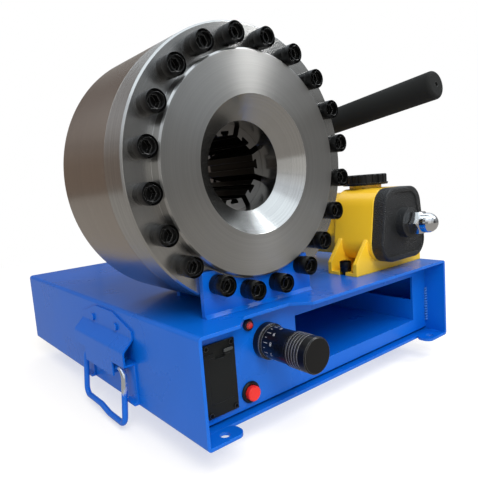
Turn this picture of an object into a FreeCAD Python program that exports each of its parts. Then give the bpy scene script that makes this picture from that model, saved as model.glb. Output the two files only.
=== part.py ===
import FreeCAD, Part

import math
import os

import Sketcher

# Hose crimping machine: a steel crimping head on a sheet metal base, with a hand pump beside it.
# +X is to the operator's right, the operator stands at -Y, +Z is up.
# The origin is the middle of the base's underside, where the four foot bolts hold it down.

os.makedirs("parts", exist_ok=True)
doc = FreeCAD.newDocument("hose_crimping_machine")
sheet = doc.addObject("Spreadsheet::Sheet", "Sizes")
Vector = FreeCAD.Vector
Rotation = FreeCAD.Rotation

# Driving dimensions in millimetres and degrees, each a named cell.
DIMENSIONS = {
    # Sheet metal base
    "base_width": 370,
    "base_depth": 450,
    "base_height": 95,
    "sheet_wall": 3,
    "sheet_bend": 4,
    "notch_left": 42,
    "notch_right": 130,
    "notch_slant": 17,
    "notch_depth": 16,
    "tab_reach": 40,
    "tab_depth": 19,
    "tab_corner": 8,
    "tab_hole": 9,
    "tab_hole_inset": 24,
    "tab_hole_setback": 9.5,
    "panel_setback": 26,
    "panel_gap": 6,
    "bay_left": 130,
    "bay_right_inset": 32,
    "bay_bottom": 21,
    "bay_drop": 18,
    "tray_wall": 2,
    "tray_depth": 190,
    "tray_side": 26,
    # Instruments on the front panel, measured from the base's left side
    "battery_left": 19,
    "battery_width": 33,
    "battery_bottom": 12,
    "battery_height": 65,
    "battery_face": 2,
    "battery_wall": 2,
    "battery_length": 52,
    "drawer_bottom": 23.5,
    "drawer_top": 65,
    "ledge_height": 3,
    "drawer_gap": 0.3,
    "screw_head": 4.5,
    "lamp_across": 70,
    "lamp_drop": 12,
    "lamp_bezel": 11,
    "lamp_face": 3,
    "lamp_lens": 7,
    "button_across": 67.5,
    "button_up": 20.5,
    "button_bezel": 20,
    "button_face": 2.5,
    "button_cap": 14,
    "button_proud": 4.5,
    "button_stroke": 3,
    "button_barrel": 22,
    "dial_across": 91.5,
    "dial_drop": 32,
    "dial_flange": 34,
    "dial_flange_face": 8,
    "dial_drum": 30,
    "dial_drum_length": 29,
    "dial_grip": 32,
    "dial_grip_length": 26,
    "dial_groove": 0.8,
    "dial_groove_count": 5,
    "dial_groove_pitch": 3.2,
    "dial_spindle": 10,
    # Crimping head
    "head_across": 100,
    "head_clear": 1.5,
    "ring_radius": 128.5,
    "ring_setback": 42,
    "ring_thick": 30,
    "ring_chamfer": 1.5,
    "ring_rim": 26,
    "boss_proud": 12,
    "cone_radius": 63.2,
    "cone_depth": 19.5,
    "mouth_radius": 42,
    "bolt_count": 20,
    "bolt_edge": 14.5,
    "bolt_size": 12,
    "bolt_head": 18,
    "bolt_length": 52,
    "bolt_socket": 10,
    "bolt_socket_depth": 6,
    "bolt_clearance": 1.5,
    "barrel_length": 98,
    "barrel_wall": 24.5,
    "barrel_floor": 10,
    "running_fit": 0.05,
    # Dies and piston
    "die_count": 8,
    "die_turn": -4.5,
    "die_inner": 31,
    "die_length": 82,
    "die_slot": 6,
    "die_slope": 0.35,
    "die_travel": 6.8,
    "die_gap": 0.2,
    "notch_mouth": 7,
    "notch_floor": 9.5,
    "notch_cut": 4.5,
    "piston_front": 20.5,
    "piston_wall": 12,
    "piston_rear_gap": 2,
    "piston_run_on": 2,
    "tail_step": 28,
    "piston_tail_proud": 22,
    "tail_wall": 21,
    "seal_width": 5,
    "seal_depth": 2,
    # Bracket in front of the head and saddle under its barrel
    "bracket_thick": 5,
    "bracket_left": 33,
    "bracket_right": 166,
    "bracket_left_rise": 41,
    "bracket_right_rise": 39,
    "bracket_step_rise": 18,
    "bracket_lean": 4,
    "bracket_arc_gap": 1.5,
    "saddle_thick": 6,
    "saddle_half": 34,
    "saddle_rise": 23,
    "saddle_setback": 132,
    "seat_gap": 0.1,
    # Hand pump
    "pump_inset": 70,
    "pump_front": 25,
    "pump_case_length": 53,
    "pump_case_clear": 12,
    "pump_case_height": 84,
    "pump_case_wide": 95,
    "pump_case_narrow": 69,
    "pump_case_round": 22,
    "tank_length": 170,
    "tank_inset": 9,
    "tank_rise": 5,
    "tank_slant": 14,
    "tank_slant_rise": 24,
    "tank_belt": 3,
    "tank_shoulder": 12,
    "tank_shoulder_drop": 10,
    "foot_half": 65,
    "foot_setback": 30.4,
    "foot_depth": 41,
    "foot_thick": 4,
    "foot_web": 5,
    "foot_knee_rise": 14,
    "foot_peak_rise": 39,
    "foot_peak_half": 44,
    "foot_slot": 9,
    "foot_screw": 8,
    "foot_screw_head": 13,
    "foot_screw_inset": 6.5,
    "endcap_depth": 15,
    "endcap_wide": 93,
    "endcap_narrow": 67,
    "endcap_round": 21,
    "endcap_edge": 2.5,
    "endcap_panel": 1.2,
    "endcap_border": 6,
    "endcap_boss": 17,
    "endcap_boss_proud": 9,
    "nut_rise": 43,
    "nut_flats": 24,
    "nut_hex": 15,
    "nut_dome": 11,
    "nut_dome_length": 31,
    "filler_setback": 62,
    "filler_neck": 19,
    "filler_neck_height": 4,
    "filler_brim": 27,
    "filler_brim_height": 2.5,
    "filler_crown": 25.5,
    "filler_crown_height": 10,
    "filler_ribs": 20,
    "filler_rib_cut": 1.6,
    "block_half": 34,
    "block_length": 72,
    "block_height": 102,
    "bore_floor": 30,
    "ear_half": 17,
    "ear_thick": 9,
    "ear_length": 30,
    "pivot_inset": 55,
    "pivot_rise": 31.6,
    "pivot_pin": 12,
    "plunger_offset": 32,
    "plunger_rod": 18,
    "plunger_head": 22,
    "plunger_head_height": 6,
    "plunger_rise": 18.6,
    "gland_nut": 34,
    "gland_height": 8,
    "lever_angle": 7.65,
    "lever_tube": 20,
    "lever_plate": 14,
    "lever_eye": 13,
    "lever_clear": 9,
    "yoke_length": 58,
    "socket_tube": 26,
    "socket_start": 44,
    "socket_length": 70,
    "socket_floor": 10,
    "grip_diameter": 30,
    "grip_bore": 20.1,
    "grip_length": 165,
    "grip_hole": 5,
    "grip_round": 4,
    "grip_end": 3,
    "lever_reach": 36,
    "knob_across": 10,
    "knob_radius": 17,
    "knob_thick": 14,
    "knob_lobes": 6,
    "port_hex": 22,
    "port_length": 18,
    "port_bore": 8,
    "port_rise": 40,
    "port_inset": 18,
    # Folding carry handles
    "handle_centre": 177,
    "handle_width": 125,
    "handle_thick": 2,
    "handle_drop": 5,
    "handle_flat": 42,
    "handle_arch": 16,
    "shoulder_drop": 18,
    "handle_bottom": 3.5,
    "handle_lip": 5.6,
    "hump_out": 13,
    "hump_drop": 36,
    "hump_start_drop": 25,
    "hump_bend": 6,
    "curtain_drop": 66,
    "notch_start": 35,
    "strip_width": 18,
    "strip_drop": 49,
    "bearing_size": 12,
    "bearing_length": 13,
    "bearing_from": 20,
    "rivet_head": 8,
    "rivet_height": 2,
    "rivet_spacing": 58,
    "rivet_drop": 19,
    "bail_rod": 6,
    "bail_half": 49,
    "bail_pin": 35,
    "bail_pin_drop": 58,
    "bail_out": 7,
    "bail_drop": 55.5,
    "bail_swing": 5,
    "bail_bend": 9,
    "bail_kink": 3.5,
}
for row, (name, value) in enumerate(DIMENSIONS.items(), start=1):
    sheet.set("A%d" % row, name)
    sheet.set("B%d" % row, repr(value))
    sheet.setAlias("B%d" % row, name)
doc.recompute()


class Size:
    """A value together with the expression that ties it to the sheet."""

    def __init__(self, text, value):
        self.text = text
        self.value = float(value)

    def _with(self, other, sign, value, swap=False):
        texts = [self.text, text_of(other)]
        if swap:
            texts.reverse()
        return Size("(%s %s %s)" % (texts[0], sign, texts[1]), value)

    def __add__(self, other):
        return self._with(other, "+", self.value + number(other))

    def __radd__(self, other):
        return self._with(other, "+", self.value + number(other), swap=True)

    def __sub__(self, other):
        return self._with(other, "-", self.value - number(other))

    def __rsub__(self, other):
        return self._with(other, "-", number(other) - self.value, swap=True)

    def __mul__(self, other):
        return self._with(other, "*", self.value * number(other))

    def __rmul__(self, other):
        return self._with(other, "*", self.value * number(other), swap=True)

    def __truediv__(self, other):
        return self._with(other, "/", self.value / number(other))

    def __neg__(self):
        return Size("(0 - %s)" % self.text, -self.value)


def number(size):
    return size.value if isinstance(size, Size) else float(size)


def text_of(size):
    return size.text if isinstance(size, Size) else repr(float(size))


def cosine(size):
    return Size("cos(%s * 1 deg)" % size.text, math.cos(math.radians(size.value)))


def sine(size):
    return Size("sin(%s * 1 deg)" % size.text, math.sin(math.radians(size.value)))


def tangent(size):
    return Size("tan(%s * 1 deg)" % size.text, math.tan(math.radians(size.value)))


class Sizes:
    """Every cell of the sheet under its own name."""


cell = Sizes()
for name in DIMENSIONS:
    setattr(cell, name, Size("Sizes." + name, sheet.get(name)))


def bind(thing, prop, size):
    """Set a property and tie it to the sheet."""
    if isinstance(size, Size):
        thing.setExpression(prop, size.text)
    else:
        setattr(thing, prop, size)


def place(thing, x=0.0, y=0.0, z=0.0, axis=None, angle=0.0):
    """Give an object its place, each coordinate tied to the sheet."""
    rotation = Rotation(Vector(*(axis or (0, 0, 1))), number(angle))
    thing.Placement = FreeCAD.Placement(Vector(number(x), number(y), number(z)), rotation)
    for letter, size in (("x", x), ("y", y), ("z", z)):
        if isinstance(size, Size):
            thing.setExpression("Placement.Base." + letter, size.text)
    if isinstance(angle, Size):
        thing.setExpression("Placement.Rotation.Angle", angle.text)


def new_body(name):
    body = doc.addObject("PartDesign::Body", name)
    body.Label = name
    return body


def new_sketch(body, role, offset=0.0):
    """A sketch on one of the body's own origin planes, moved along the plane's normal."""
    sketch = body.newObject("Sketcher::SketchObject", body.Label + "_sketch")
    plane = [item for item in body.Origin.OriginFeatures if item.Role == role][0]
    sketch.AttachmentSupport = [(plane, "")]
    sketch.MapMode = "FlatFace"
    sketch.AttachmentOffset = FreeCAD.Placement(Vector(0, 0, number(offset)), Rotation())
    if isinstance(offset, Size):
        sketch.setExpression("AttachmentOffset.Base.z", offset.text)
    return sketch


def pin_point(sketch, geometry, point, x, y):
    """Hold one sketch point at two sizes measured from the sketch's origin."""
    for kind, size in (("DistanceX", x), ("DistanceY", y)):
        index = sketch.addConstraint(Sketcher.Constraint(kind, -1, 1, geometry, point, number(size)))
        if isinstance(size, Size):
            sketch.setExpression("Constraints[%d]" % index, size.text)


def add_polygon(sketch, points):
    """A closed outline through the given corner points."""
    first = sketch.GeometryCount
    count = len(points)
    for index in range(count):
        start = points[index]
        end = points[(index + 1) % count]
        sketch.addGeometry(Part.LineSegment(
            Vector(number(start[0]), number(start[1]), 0),
            Vector(number(end[0]), number(end[1]), 0)))
    for index in range(count):
        following = first + (index + 1) % count
        sketch.addConstraint(Sketcher.Constraint("Coincident", first + index, 2, following, 1))
    for index, (x, y) in enumerate(points):
        pin_point(sketch, first + index, 1, x, y)


def add_rectangle(sketch, left, right, bottom, top):
    add_polygon(sketch, [(left, bottom), (right, bottom), (right, top), (left, top)])


def add_circle(sketch, x, y, radius):
    index = sketch.addGeometry(Part.Circle(Vector(number(x), number(y), 0), Vector(0, 0, 1), number(radius)))
    pin_point(sketch, index, 3, x, y)
    held = sketch.addConstraint(Sketcher.Constraint("Radius", index, number(radius)))
    if isinstance(radius, Size):
        sketch.setExpression("Constraints[%d]" % held, radius.text)


def add_hexagon(sketch, x, y, flats):
    """A hexagon by its width across flats, with two corners left and right."""
    corner = flats / math.sqrt(3)
    half = flats / 2
    add_polygon(sketch, [
        (x + corner, y), (x + corner / 2, y + half), (x - corner / 2, y + half),
        (x - corner, y), (x - corner / 2, y - half), (x + corner / 2, y - half)])


def pad(body, sketch, length, reverse=False, middle=False):
    feature = body.newObject("PartDesign::Pad", body.Label + "_pad")
    feature.Profile = sketch
    bind(feature, "Length", length)
    feature.Reversed = reverse
    if middle:
        feature.SideType = "Symmetric"
    sketch.Visibility = False
    doc.recompute()
    return feature


def pocket(body, sketch, length=None, reverse=False, middle=False):
    """Cut a sketch out of the body, and make sure that it did cut."""
    doc.recompute()
    before = body.Shape.Volume
    feature = body.newObject("PartDesign::Pocket", body.Label + "_pocket")
    feature.Profile = sketch
    if length is None:
        feature.Type = "ThroughAll"
    else:
        bind(feature, "Length", length)
    feature.Reversed = reverse
    if middle:
        feature.SideType = "Symmetric"
    sketch.Visibility = False
    doc.recompute()
    if body.Shape.Volume >= before - 1e-6:
        raise RuntimeError("a pocket in %s cut nothing" % body.Label)
    return feature


def axis_of(body, role):
    return [item for item in body.Origin.OriginFeatures if item.Role == role][0]


def revolve(body, sketch, role="Y_Axis", cut=False):
    kind = "PartDesign::Groove" if cut else "PartDesign::Revolution"
    feature = body.newObject(kind, body.Label + "_turn")
    feature.Profile = sketch
    feature.ReferenceAxis = (axis_of(body, role), [""])
    feature.Angle = 360
    doc.recompute()
    return feature


def repeat_round(body, features, role, count):
    """Repeat features evenly round one of the body's axes."""
    pattern = body.newObject("PartDesign::PolarPattern", body.Label + "_round")
    pattern.Originals = features
    pattern.Axis = (axis_of(body, role), [""])
    pattern.Angle = 360
    bind(pattern, "Occurrences", count)
    body.Tip = pattern
    doc.recompute()
    return pattern


def edge_names(shape, wanted):
    return ["Edge%d" % (index + 1) for index, edge in enumerate(shape.Edges) if wanted(edge)]


def dress(body, kind, size, wanted):
    """Fillet or chamfer the edges of the body's tip that a test picks out."""
    doc.recompute()
    base = body.Tip
    names = edge_names(base.Shape, wanted)
    if not names:
        raise RuntimeError("no edge to dress in %s" % body.Label)
    feature = body.newObject("PartDesign::" + kind, body.Label + "_" + kind.lower())
    feature.Base = (base, names)
    bind(feature, "Radius" if kind == "Fillet" else "Size", size)
    body.Tip = feature
    doc.recompute()
    return feature


def runs_along(edge, axis):
    """True for a straight edge along the given axis letter."""
    if edge.Curve.TypeId != "Part::GeomLine":
        return False
    direction = edge.Curve.Direction
    return abs(abs(getattr(direction, axis)) - 1) < 1e-6


def middle_of(edge):
    return edge.BoundBox.Center


def near(value, size, within=0.01):
    return abs(value - number(size)) < within


def cylinder(name, radius, height, x=0.0, y=0.0, z=0.0, axis=None, angle=0.0):
    thing = doc.addObject("Part::Cylinder", name)
    bind(thing, "Radius", radius)
    bind(thing, "Height", height)
    place(thing, x, y, z, axis, angle)
    return thing


def box(name, length, width, height, x=0.0, y=0.0, z=0.0):
    thing = doc.addObject("Part::Box", name)
    bind(thing, "Length", length)
    bind(thing, "Width", width)
    bind(thing, "Height", height)
    place(thing, x, y, z)
    return thing


def join(name, pieces):
    thing = doc.addObject("Part::MultiFuse", name)
    thing.Shapes = pieces
    thing.Refine = True
    return thing


def cut_away(name, base, tool):
    thing = doc.addObject("Part::Cut", name)
    thing.Base = base
    thing.Tool = tool
    return thing


# Places that several pieces share.
left_side = -cell.base_width / 2
front_edge = -cell.base_depth / 2
base_top = cell.base_height
panel_face = front_edge + cell.panel_setback
panel_rear = panel_face + cell.sheet_wall
head_x = left_side + cell.head_across
head_z = base_top + cell.head_clear + cell.ring_radius
boss_radius = cell.ring_radius - cell.ring_rim
bolt_circle = cell.ring_radius - cell.bolt_edge
barrel_bore = cell.ring_radius - cell.barrel_wall
die_outer = barrel_bore - cell.piston_wall
tail_radius = barrel_bore - cell.tail_step
tail_bore = tail_radius - cell.tail_wall
ring_front = front_edge + cell.ring_setback
ring_rear = ring_front + cell.ring_thick
barrel_rear = ring_rear + cell.barrel_length
half_width = cell.base_width / 2
bay_right = half_width - cell.bay_right_inset
pump_x = half_width - cell.pump_inset
tank_rear = front_edge + cell.pump_front + cell.pump_case_length + cell.tank_length
pivot_y = tank_rear + cell.pivot_inset
block_up = base_top + cell.block_height
pivot_up = block_up + cell.pivot_rise
plunger_up = block_up + cell.plunger_rise
plunger_y = pivot_y - cell.plunger_offset
case_low = base_top + cell.pump_case_clear
case_high = case_low + cell.pump_case_height
nut_up = case_low + cell.nut_rise
# Heights on the front panel and on the side plates, which hang from the base's top.
bay_top = base_top - cell.bay_drop
lamp_up = base_top - cell.lamp_drop
dial_up = base_top - cell.dial_drop
handle_top = base_top - cell.handle_drop
shoulder_up = base_top - cell.shoulder_drop
rivet_up = base_top - cell.rivet_drop
hump_start = base_top - cell.hump_start_drop
hump_top = base_top - cell.hump_drop
strip_top = base_top - cell.strip_drop
bail_up = base_top - cell.bail_pin_drop
curtain_bottom = base_top - cell.curtain_drop
nodes = []


def keep(thing):
    """Remember a finished sub-part under its own name."""
    nodes.append(thing)
    return thing


def make_base_shell():
    """Bent sheet: top and two sides in one piece, four foot tabs turned in, a notch over the dial."""
    body = new_body("base_shell")
    wall = cell.sheet_wall
    inner = half_width - wall
    lip = half_width - cell.tab_reach
    profile = new_sketch(body, "XZ_Plane", -front_edge)
    add_polygon(profile, [
        (-lip, 0.0), (-half_width, 0.0), (-half_width, base_top), (half_width, base_top),
        (half_width, 0.0), (lip, 0.0), (lip, wall), (inner, wall), (inner, base_top - wall),
        (-inner, base_top - wall), (-inner, wall), (-lip, wall)])
    pad(body, profile, cell.base_depth, reverse=True)
    outer = ((-1, 1), (1, 1), (-1, 0), (1, 0))
    dress(body, "Fillet", cell.sheet_bend, lambda edge: runs_along(edge, "y") and any(
        near(middle_of(edge).x, side * half_width) and near(middle_of(edge).z, up * base_top)
        for side, up in outer))
    dress(body, "Fillet", cell.sheet_bend - wall, lambda edge: runs_along(edge, "y") and any(
        near(middle_of(edge).x, side * inner)
        and near(middle_of(edge).z, up * (base_top - 2 * wall) + wall)
        for side, up in outer))
    # Between the foot tabs the lips are cut away and the sides end square.
    relief = new_sketch(body, "XY_Plane")
    tab_front = front_edge + cell.tab_depth
    add_rectangle(relief, -inner, inner, tab_front, -tab_front)
    pocket(body, relief, cell.sheet_bend + cell.sheet_bend, middle=True)
    notch = new_sketch(body, "XY_Plane", base_top)
    add_polygon(notch, [
        (left_side + cell.notch_left, front_edge),
        (left_side + cell.notch_right, front_edge),
        (left_side + cell.notch_right - cell.notch_slant, front_edge + cell.notch_depth),
        (left_side + cell.notch_left + cell.notch_slant, front_edge + cell.notch_depth)])
    pocket(body, notch, wall)
    holes = new_sketch(body, "XY_Plane")
    for side in (-1, 1):
        for end in (-1, 1):
            add_circle(holes, side * (half_width - cell.tab_hole_inset),
                       end * (-front_edge - cell.tab_hole_setback), cell.tab_hole / 2)
    pocket(body, holes, cell.sheet_bend + cell.sheet_bend, middle=True)
    dress(body, "Fillet", cell.tab_corner, lambda edge: runs_along(edge, "z")
          and near(abs(middle_of(edge).x), lip) and near(middle_of(edge).z, wall / 2))
    return keep(body)


def make_front_panel():
    """Recessed front panel with the bay's opening and a hole for each instrument."""
    body = new_body("front_panel")
    outline = new_sketch(body, "XZ_Plane", -panel_rear)
    inner = half_width - cell.sheet_wall
    bend = cell.sheet_bend - cell.sheet_wall
    top = base_top - cell.sheet_wall
    add_polygon(outline, [
        (-inner, cell.panel_gap), (inner, cell.panel_gap), (inner, top - bend), (inner - bend, top),
        (bend - inner, top), (-inner, top - bend)])
    add_rectangle(outline, left_side + cell.bay_left, bay_right, cell.bay_bottom, bay_top)
    case_left = left_side + cell.battery_left + cell.battery_wall
    case_right = left_side + cell.battery_left + cell.battery_width - cell.battery_wall
    add_rectangle(outline, case_left, case_right, cell.battery_bottom + cell.battery_wall,
                  cell.battery_bottom + cell.battery_height - cell.battery_wall)
    add_circle(outline, left_side + cell.lamp_across, lamp_up, cell.lamp_lens / 2 + 0.5)
    add_circle(outline, left_side + cell.button_across, cell.button_up, cell.button_cap / 2 + 1)
    add_circle(outline, left_side + cell.dial_across, dial_up, cell.dial_spindle / 2 + 2)
    pad(body, outline, cell.sheet_wall)
    return keep(body)


def make_bottom_plate():
    """Floor of the base, between the front and the rear foot tabs."""
    inner = half_width - cell.sheet_wall
    start = front_edge + cell.tab_depth
    thing = box("bottom_plate", 2 * inner, -2 * start, cell.sheet_wall, -inner, start, 0.0)
    return keep(thing)


def make_rear_panel():
    """Plain rear wall of the base, its upper corners cut to clear the sheet's bends."""
    body = new_body("rear_panel")
    inner = half_width - cell.sheet_wall
    bend = cell.sheet_bend - cell.sheet_wall
    top = base_top - cell.sheet_wall
    outline = new_sketch(body, "XZ_Plane", front_edge + cell.tab_depth)
    add_polygon(outline, [
        (-inner, cell.sheet_wall), (inner, cell.sheet_wall), (inner, top - bend), (inner - bend, top),
        (bend - inner, top), (-inner, top - bend)])
    pad(body, outline, cell.sheet_wall)
    return keep(body)


def make_bay_tray():
    """Open tray behind the bay's opening: a floor, two low sides and a back."""
    body = new_body("bay_tray")
    wall = cell.tray_wall
    left = left_side + cell.bay_left
    right = bay_right
    floor = cell.bay_bottom
    outline = new_sketch(body, "XZ_Plane", -panel_rear)
    add_polygon(outline, [
        (left - wall, floor - wall), (right + wall, floor - wall), (right + wall, floor + cell.tray_side),
        (right, floor + cell.tray_side), (right, floor), (left, floor), (left, floor + cell.tray_side),
        (left - wall, floor + cell.tray_side)])
    pad(body, outline, cell.tray_depth, reverse=True)
    back = new_sketch(body, "XZ_Plane", -panel_rear - cell.tray_depth)
    add_rectangle(back, left - wall, right + wall, floor - wall, base_top - cell.sheet_wall)
    pad(body, back, wall, reverse=True)
    return keep(body)


def make_battery_case():
    """Black flanged case with an open front, a thumb ledge above the drawer and a sill below it."""
    body = new_body("battery_case")
    left = left_side + cell.battery_left
    right = left + cell.battery_width
    bottom = cell.battery_bottom
    top = bottom + cell.battery_height
    wall = cell.battery_wall
    flange = new_sketch(body, "XZ_Plane", -panel_face)
    add_rectangle(flange, left, right, bottom, top)
    pad(body, flange, cell.battery_face)
    case = new_sketch(body, "XZ_Plane", -panel_face)
    inset = wall + cell.drawer_gap
    add_rectangle(case, left + inset, right - inset, bottom + inset, top - inset)
    pad(body, case, cell.battery_length, reverse=True)
    mouth = new_sketch(body, "XZ_Plane", -panel_face + cell.battery_face)
    add_rectangle(mouth, left + inset + wall, right - inset - wall, cell.drawer_bottom, cell.drawer_top)
    pocket(body, mouth, cell.battery_face + cell.battery_length - wall)
    recess = new_sketch(body, "XZ_Plane", -panel_face + cell.battery_face)
    edge = cell.battery_face / 4
    add_rectangle(recess, left + edge, right - edge, cell.drawer_top + cell.ledge_height, top - edge)
    pocket(body, recess, cell.battery_face / 2)
    latch = new_sketch(body, "XZ_Plane", -panel_face + cell.battery_face)
    centre = left + cell.battery_width / 2
    add_rectangle(latch, centre - cell.battery_width / 6, centre + cell.battery_width / 6,
                  cell.drawer_top - 1, cell.drawer_top + cell.ledge_height + 1)
    pocket(body, latch, cell.battery_face)
    return keep(body)


def make_battery_drawer():
    """Drawer that carries the battery; its front closes the case flush."""
    body = new_body("battery_drawer")
    gap = cell.drawer_gap
    wall = cell.battery_wall
    left = left_side + cell.battery_left + 2 * wall + 2 * gap
    right = left_side + cell.battery_left + cell.battery_width - 2 * wall - 2 * gap
    bottom = cell.drawer_bottom + gap
    top = cell.drawer_top - gap
    front = -panel_face + cell.battery_face
    length = cell.battery_face + cell.battery_length - 2 * wall
    outline = new_sketch(body, "XZ_Plane", front - length)
    add_rectangle(outline, left, right, bottom, top)
    pad(body, outline, length)
    trough = new_sketch(body, "XY_Plane", top)
    add_rectangle(trough, left + wall, right - wall, -front + 2 * wall, -front + length - wall)
    pocket(body, trough, top - bottom - wall)
    lip = new_sketch(body, "XZ_Plane", front)
    centre = left_side + cell.battery_left + cell.battery_width / 2
    add_rectangle(lip, centre - cell.battery_width / 6, centre + cell.battery_width / 6, top - wall, top)
    pocket(body, lip, wall)
    return keep(body)


def make_battery_screws():
    """Pan head screws in the corners of the battery case."""
    heads = []
    inset = cell.screw_head / 2 + 0.9
    left = left_side + cell.battery_left
    for column, across in enumerate((left + inset, left + cell.battery_width - inset)):
        for line, up in enumerate((cell.battery_bottom + inset,
                                   cell.battery_bottom + cell.battery_height - inset)):
            seat = panel_face - cell.battery_face + line * cell.battery_face / 2
            heads.append(cylinder("battery_screw_%d%d" % (column, line), cell.screw_head / 2,
                                  cell.battery_face / 2, across, seat, up, (1, 0, 0), 90))
    return keep(join("battery_screws", heads))


def make_lamp():
    """Indicator lamp: a chromed bezel and a red domed lens."""
    x = left_side + cell.lamp_across
    bezel = new_body("lamp_bezel")
    place(bezel, x, panel_face, lamp_up)
    ring = new_sketch(bezel, "YZ_Plane")
    lens = cell.lamp_lens / 2
    outer = cell.lamp_bezel / 2
    add_polygon(ring, [
        (0.0, lens), (0.0, outer), (-cell.lamp_face * 0.6, outer), (-cell.lamp_face, outer - 0.8),
        (-cell.lamp_face, lens)])
    revolve(bezel, ring)
    keep(bezel)
    glass = new_body("lamp_lens")
    place(glass, x, panel_face, lamp_up)
    dome = new_sketch(glass, "YZ_Plane")
    inside = lens - 0.05
    add_polygon(dome, [
        (cell.sheet_wall, 0.0), (cell.sheet_wall, inside), (-cell.lamp_face - 0.2, inside),
        (-cell.lamp_face - 1.0, inside * 0.6), (-cell.lamp_face - 1.2, 0.0)])
    revolve(glass, dome)
    keep(glass)


def make_button():
    """Push button: a black threaded bezel fixed in the panel and a red cap that moves."""
    x = left_side + cell.button_across
    rear = cell.button_barrel
    bezel = new_body("button_bezel")
    place(bezel, x, panel_face, cell.button_up)
    ring = new_sketch(bezel, "YZ_Plane")
    bore = cell.button_cap / 2 + cell.drawer_gap
    neck = cell.button_cap / 2 + 0.9
    add_polygon(ring, [
        (0.0, neck), (0.0, cell.button_bezel / 2), (-cell.button_face * 0.5, cell.button_bezel / 2),
        (-cell.button_face, cell.button_bezel / 2 - 1.2), (-cell.button_face, bore),
        (rear, bore), (rear, neck)])
    revolve(bezel, ring)
    keep(bezel)
    cap = new_body("button_cap")
    place(cap, x, panel_face, cell.button_up)
    plug = new_sketch(cap, "YZ_Plane")
    radius = cell.button_cap / 2
    proud = cell.button_face + cell.button_proud
    add_polygon(plug, [
        (rear - cell.button_stroke - 1, 0.0), (rear - cell.button_stroke - 1, radius),
        (-proud + 1, radius), (-proud, radius - 1), (-proud, 0.0)])
    revolve(cap, plug)
    keep(cap)


def make_dial():
    """Stop adjuster: a fixed flange on the panel and a drum with a grooved grip that turns."""
    x = left_side + cell.dial_across
    spindle = cell.dial_spindle / 2
    flange = new_body("dial_flange")
    place(flange, x, panel_face, dial_up)
    ring = new_sketch(flange, "YZ_Plane")
    face = -cell.dial_flange_face
    rim = cell.dial_flange / 2
    behind = cell.sheet_wall + 4
    add_polygon(ring, [
        (behind, spindle + 0.1), (behind, spindle + 1.9), (0.0, spindle + 1.9), (0.0, rim),
        (face + 1.2, rim), (face, rim - 1.2), (face, spindle + 0.1)])
    revolve(flange, ring)
    keep(flange)
    knob = new_body("dial_knob")
    place(knob, x, panel_face, dial_up)
    outline = new_sketch(knob, "YZ_Plane")
    start = face - 0.2
    shoulder = start - cell.dial_drum_length
    end = shoulder - cell.dial_grip_length
    drum = cell.dial_drum / 2
    grip = cell.dial_grip / 2
    add_polygon(outline, [
        (behind + 6, 0.0), (behind + 6, spindle), (start, spindle), (start, drum), (shoulder, drum),
        (shoulder - 1, grip), (end + 1, grip), (end, grip - 1), (end, 0.0)])
    revolve(knob, outline)
    groove = new_sketch(knob, "YZ_Plane")
    first = shoulder - 3.5
    width = cell.dial_groove
    for index in range(DIMENSIONS["dial_groove_count"]):
        place_y = first - index * cell.dial_groove_pitch
        add_rectangle(groove, place_y - width, place_y, grip - width, grip + 1)
    revolve(knob, groove, cut=True)
    keep(knob)


def make_front_ring():
    """Front ring of the head: a bolted flange with a raised turned disc and a coned mouth."""
    body = new_body("front_ring")
    place(body, head_x, ring_front, head_z)
    profile = new_sketch(body, "YZ_Plane")
    chamfer = cell.ring_chamfer
    face = -cell.boss_proud
    add_polygon(profile, [
        (cell.ring_thick, cell.mouth_radius), (cell.ring_thick, cell.ring_radius),
        (chamfer, cell.ring_radius), (0.0, cell.ring_radius - chamfer), (0.0, boss_radius),
        (face + chamfer, boss_radius), (face, boss_radius - chamfer),
        (face, cell.cone_radius), (face + cell.cone_depth, cell.mouth_radius)])
    revolve(body, profile)
    hole = new_sketch(body, "XZ_Plane")
    spoke = Size("(180 / %s)" % cell.bolt_count.text, 180 / cell.bolt_count.value)
    add_circle(hole, bolt_circle * sine(spoke), bolt_circle * cosine(spoke),
               (cell.bolt_size + cell.bolt_clearance) / 2)
    drilled = pocket(body, hole, cell.ring_thick)
    repeat_round(body, [drilled], "Y_Axis", cell.bolt_count)
    return keep(body)


def make_barrel():
    """Cylinder barrel: a cup with the piston's bore, tapped holes in front and a bored floor."""
    body = new_body("barrel")
    place(body, head_x, ring_rear, head_z)
    profile = new_sketch(body, "YZ_Plane")
    floor = cell.barrel_length - cell.barrel_floor
    tail = tail_radius + cell.running_fit
    add_polygon(profile, [
        (0.0, barrel_bore), (floor, barrel_bore), (floor, tail), (cell.barrel_length, tail),
        (cell.barrel_length, cell.ring_radius - cell.ring_chamfer),
        (cell.barrel_length - cell.ring_chamfer, cell.ring_radius),
        (0.6, cell.ring_radius), (0.0, cell.ring_radius - 0.6)])
    revolve(body, profile)
    hole = new_sketch(body, "XZ_Plane")
    spoke = Size("(180 / %s)" % cell.bolt_count.text, 180 / cell.bolt_count.value)
    add_circle(hole, bolt_circle * sine(spoke), bolt_circle * cosine(spoke),
               cell.bolt_size / 2 + cell.running_fit)
    tapped = pocket(body, hole, cell.bolt_length - cell.ring_thick + 4)
    repeat_round(body, [tapped], "Y_Axis", cell.bolt_count)
    # Oil port into the space behind the piston.
    port = new_sketch(body, "YZ_Plane")
    add_circle(port, floor - cell.piston_rear_gap / 2, 0.0, cell.port_bore / 4)
    pocket(body, port, reverse=True)
    return keep(body)


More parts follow.
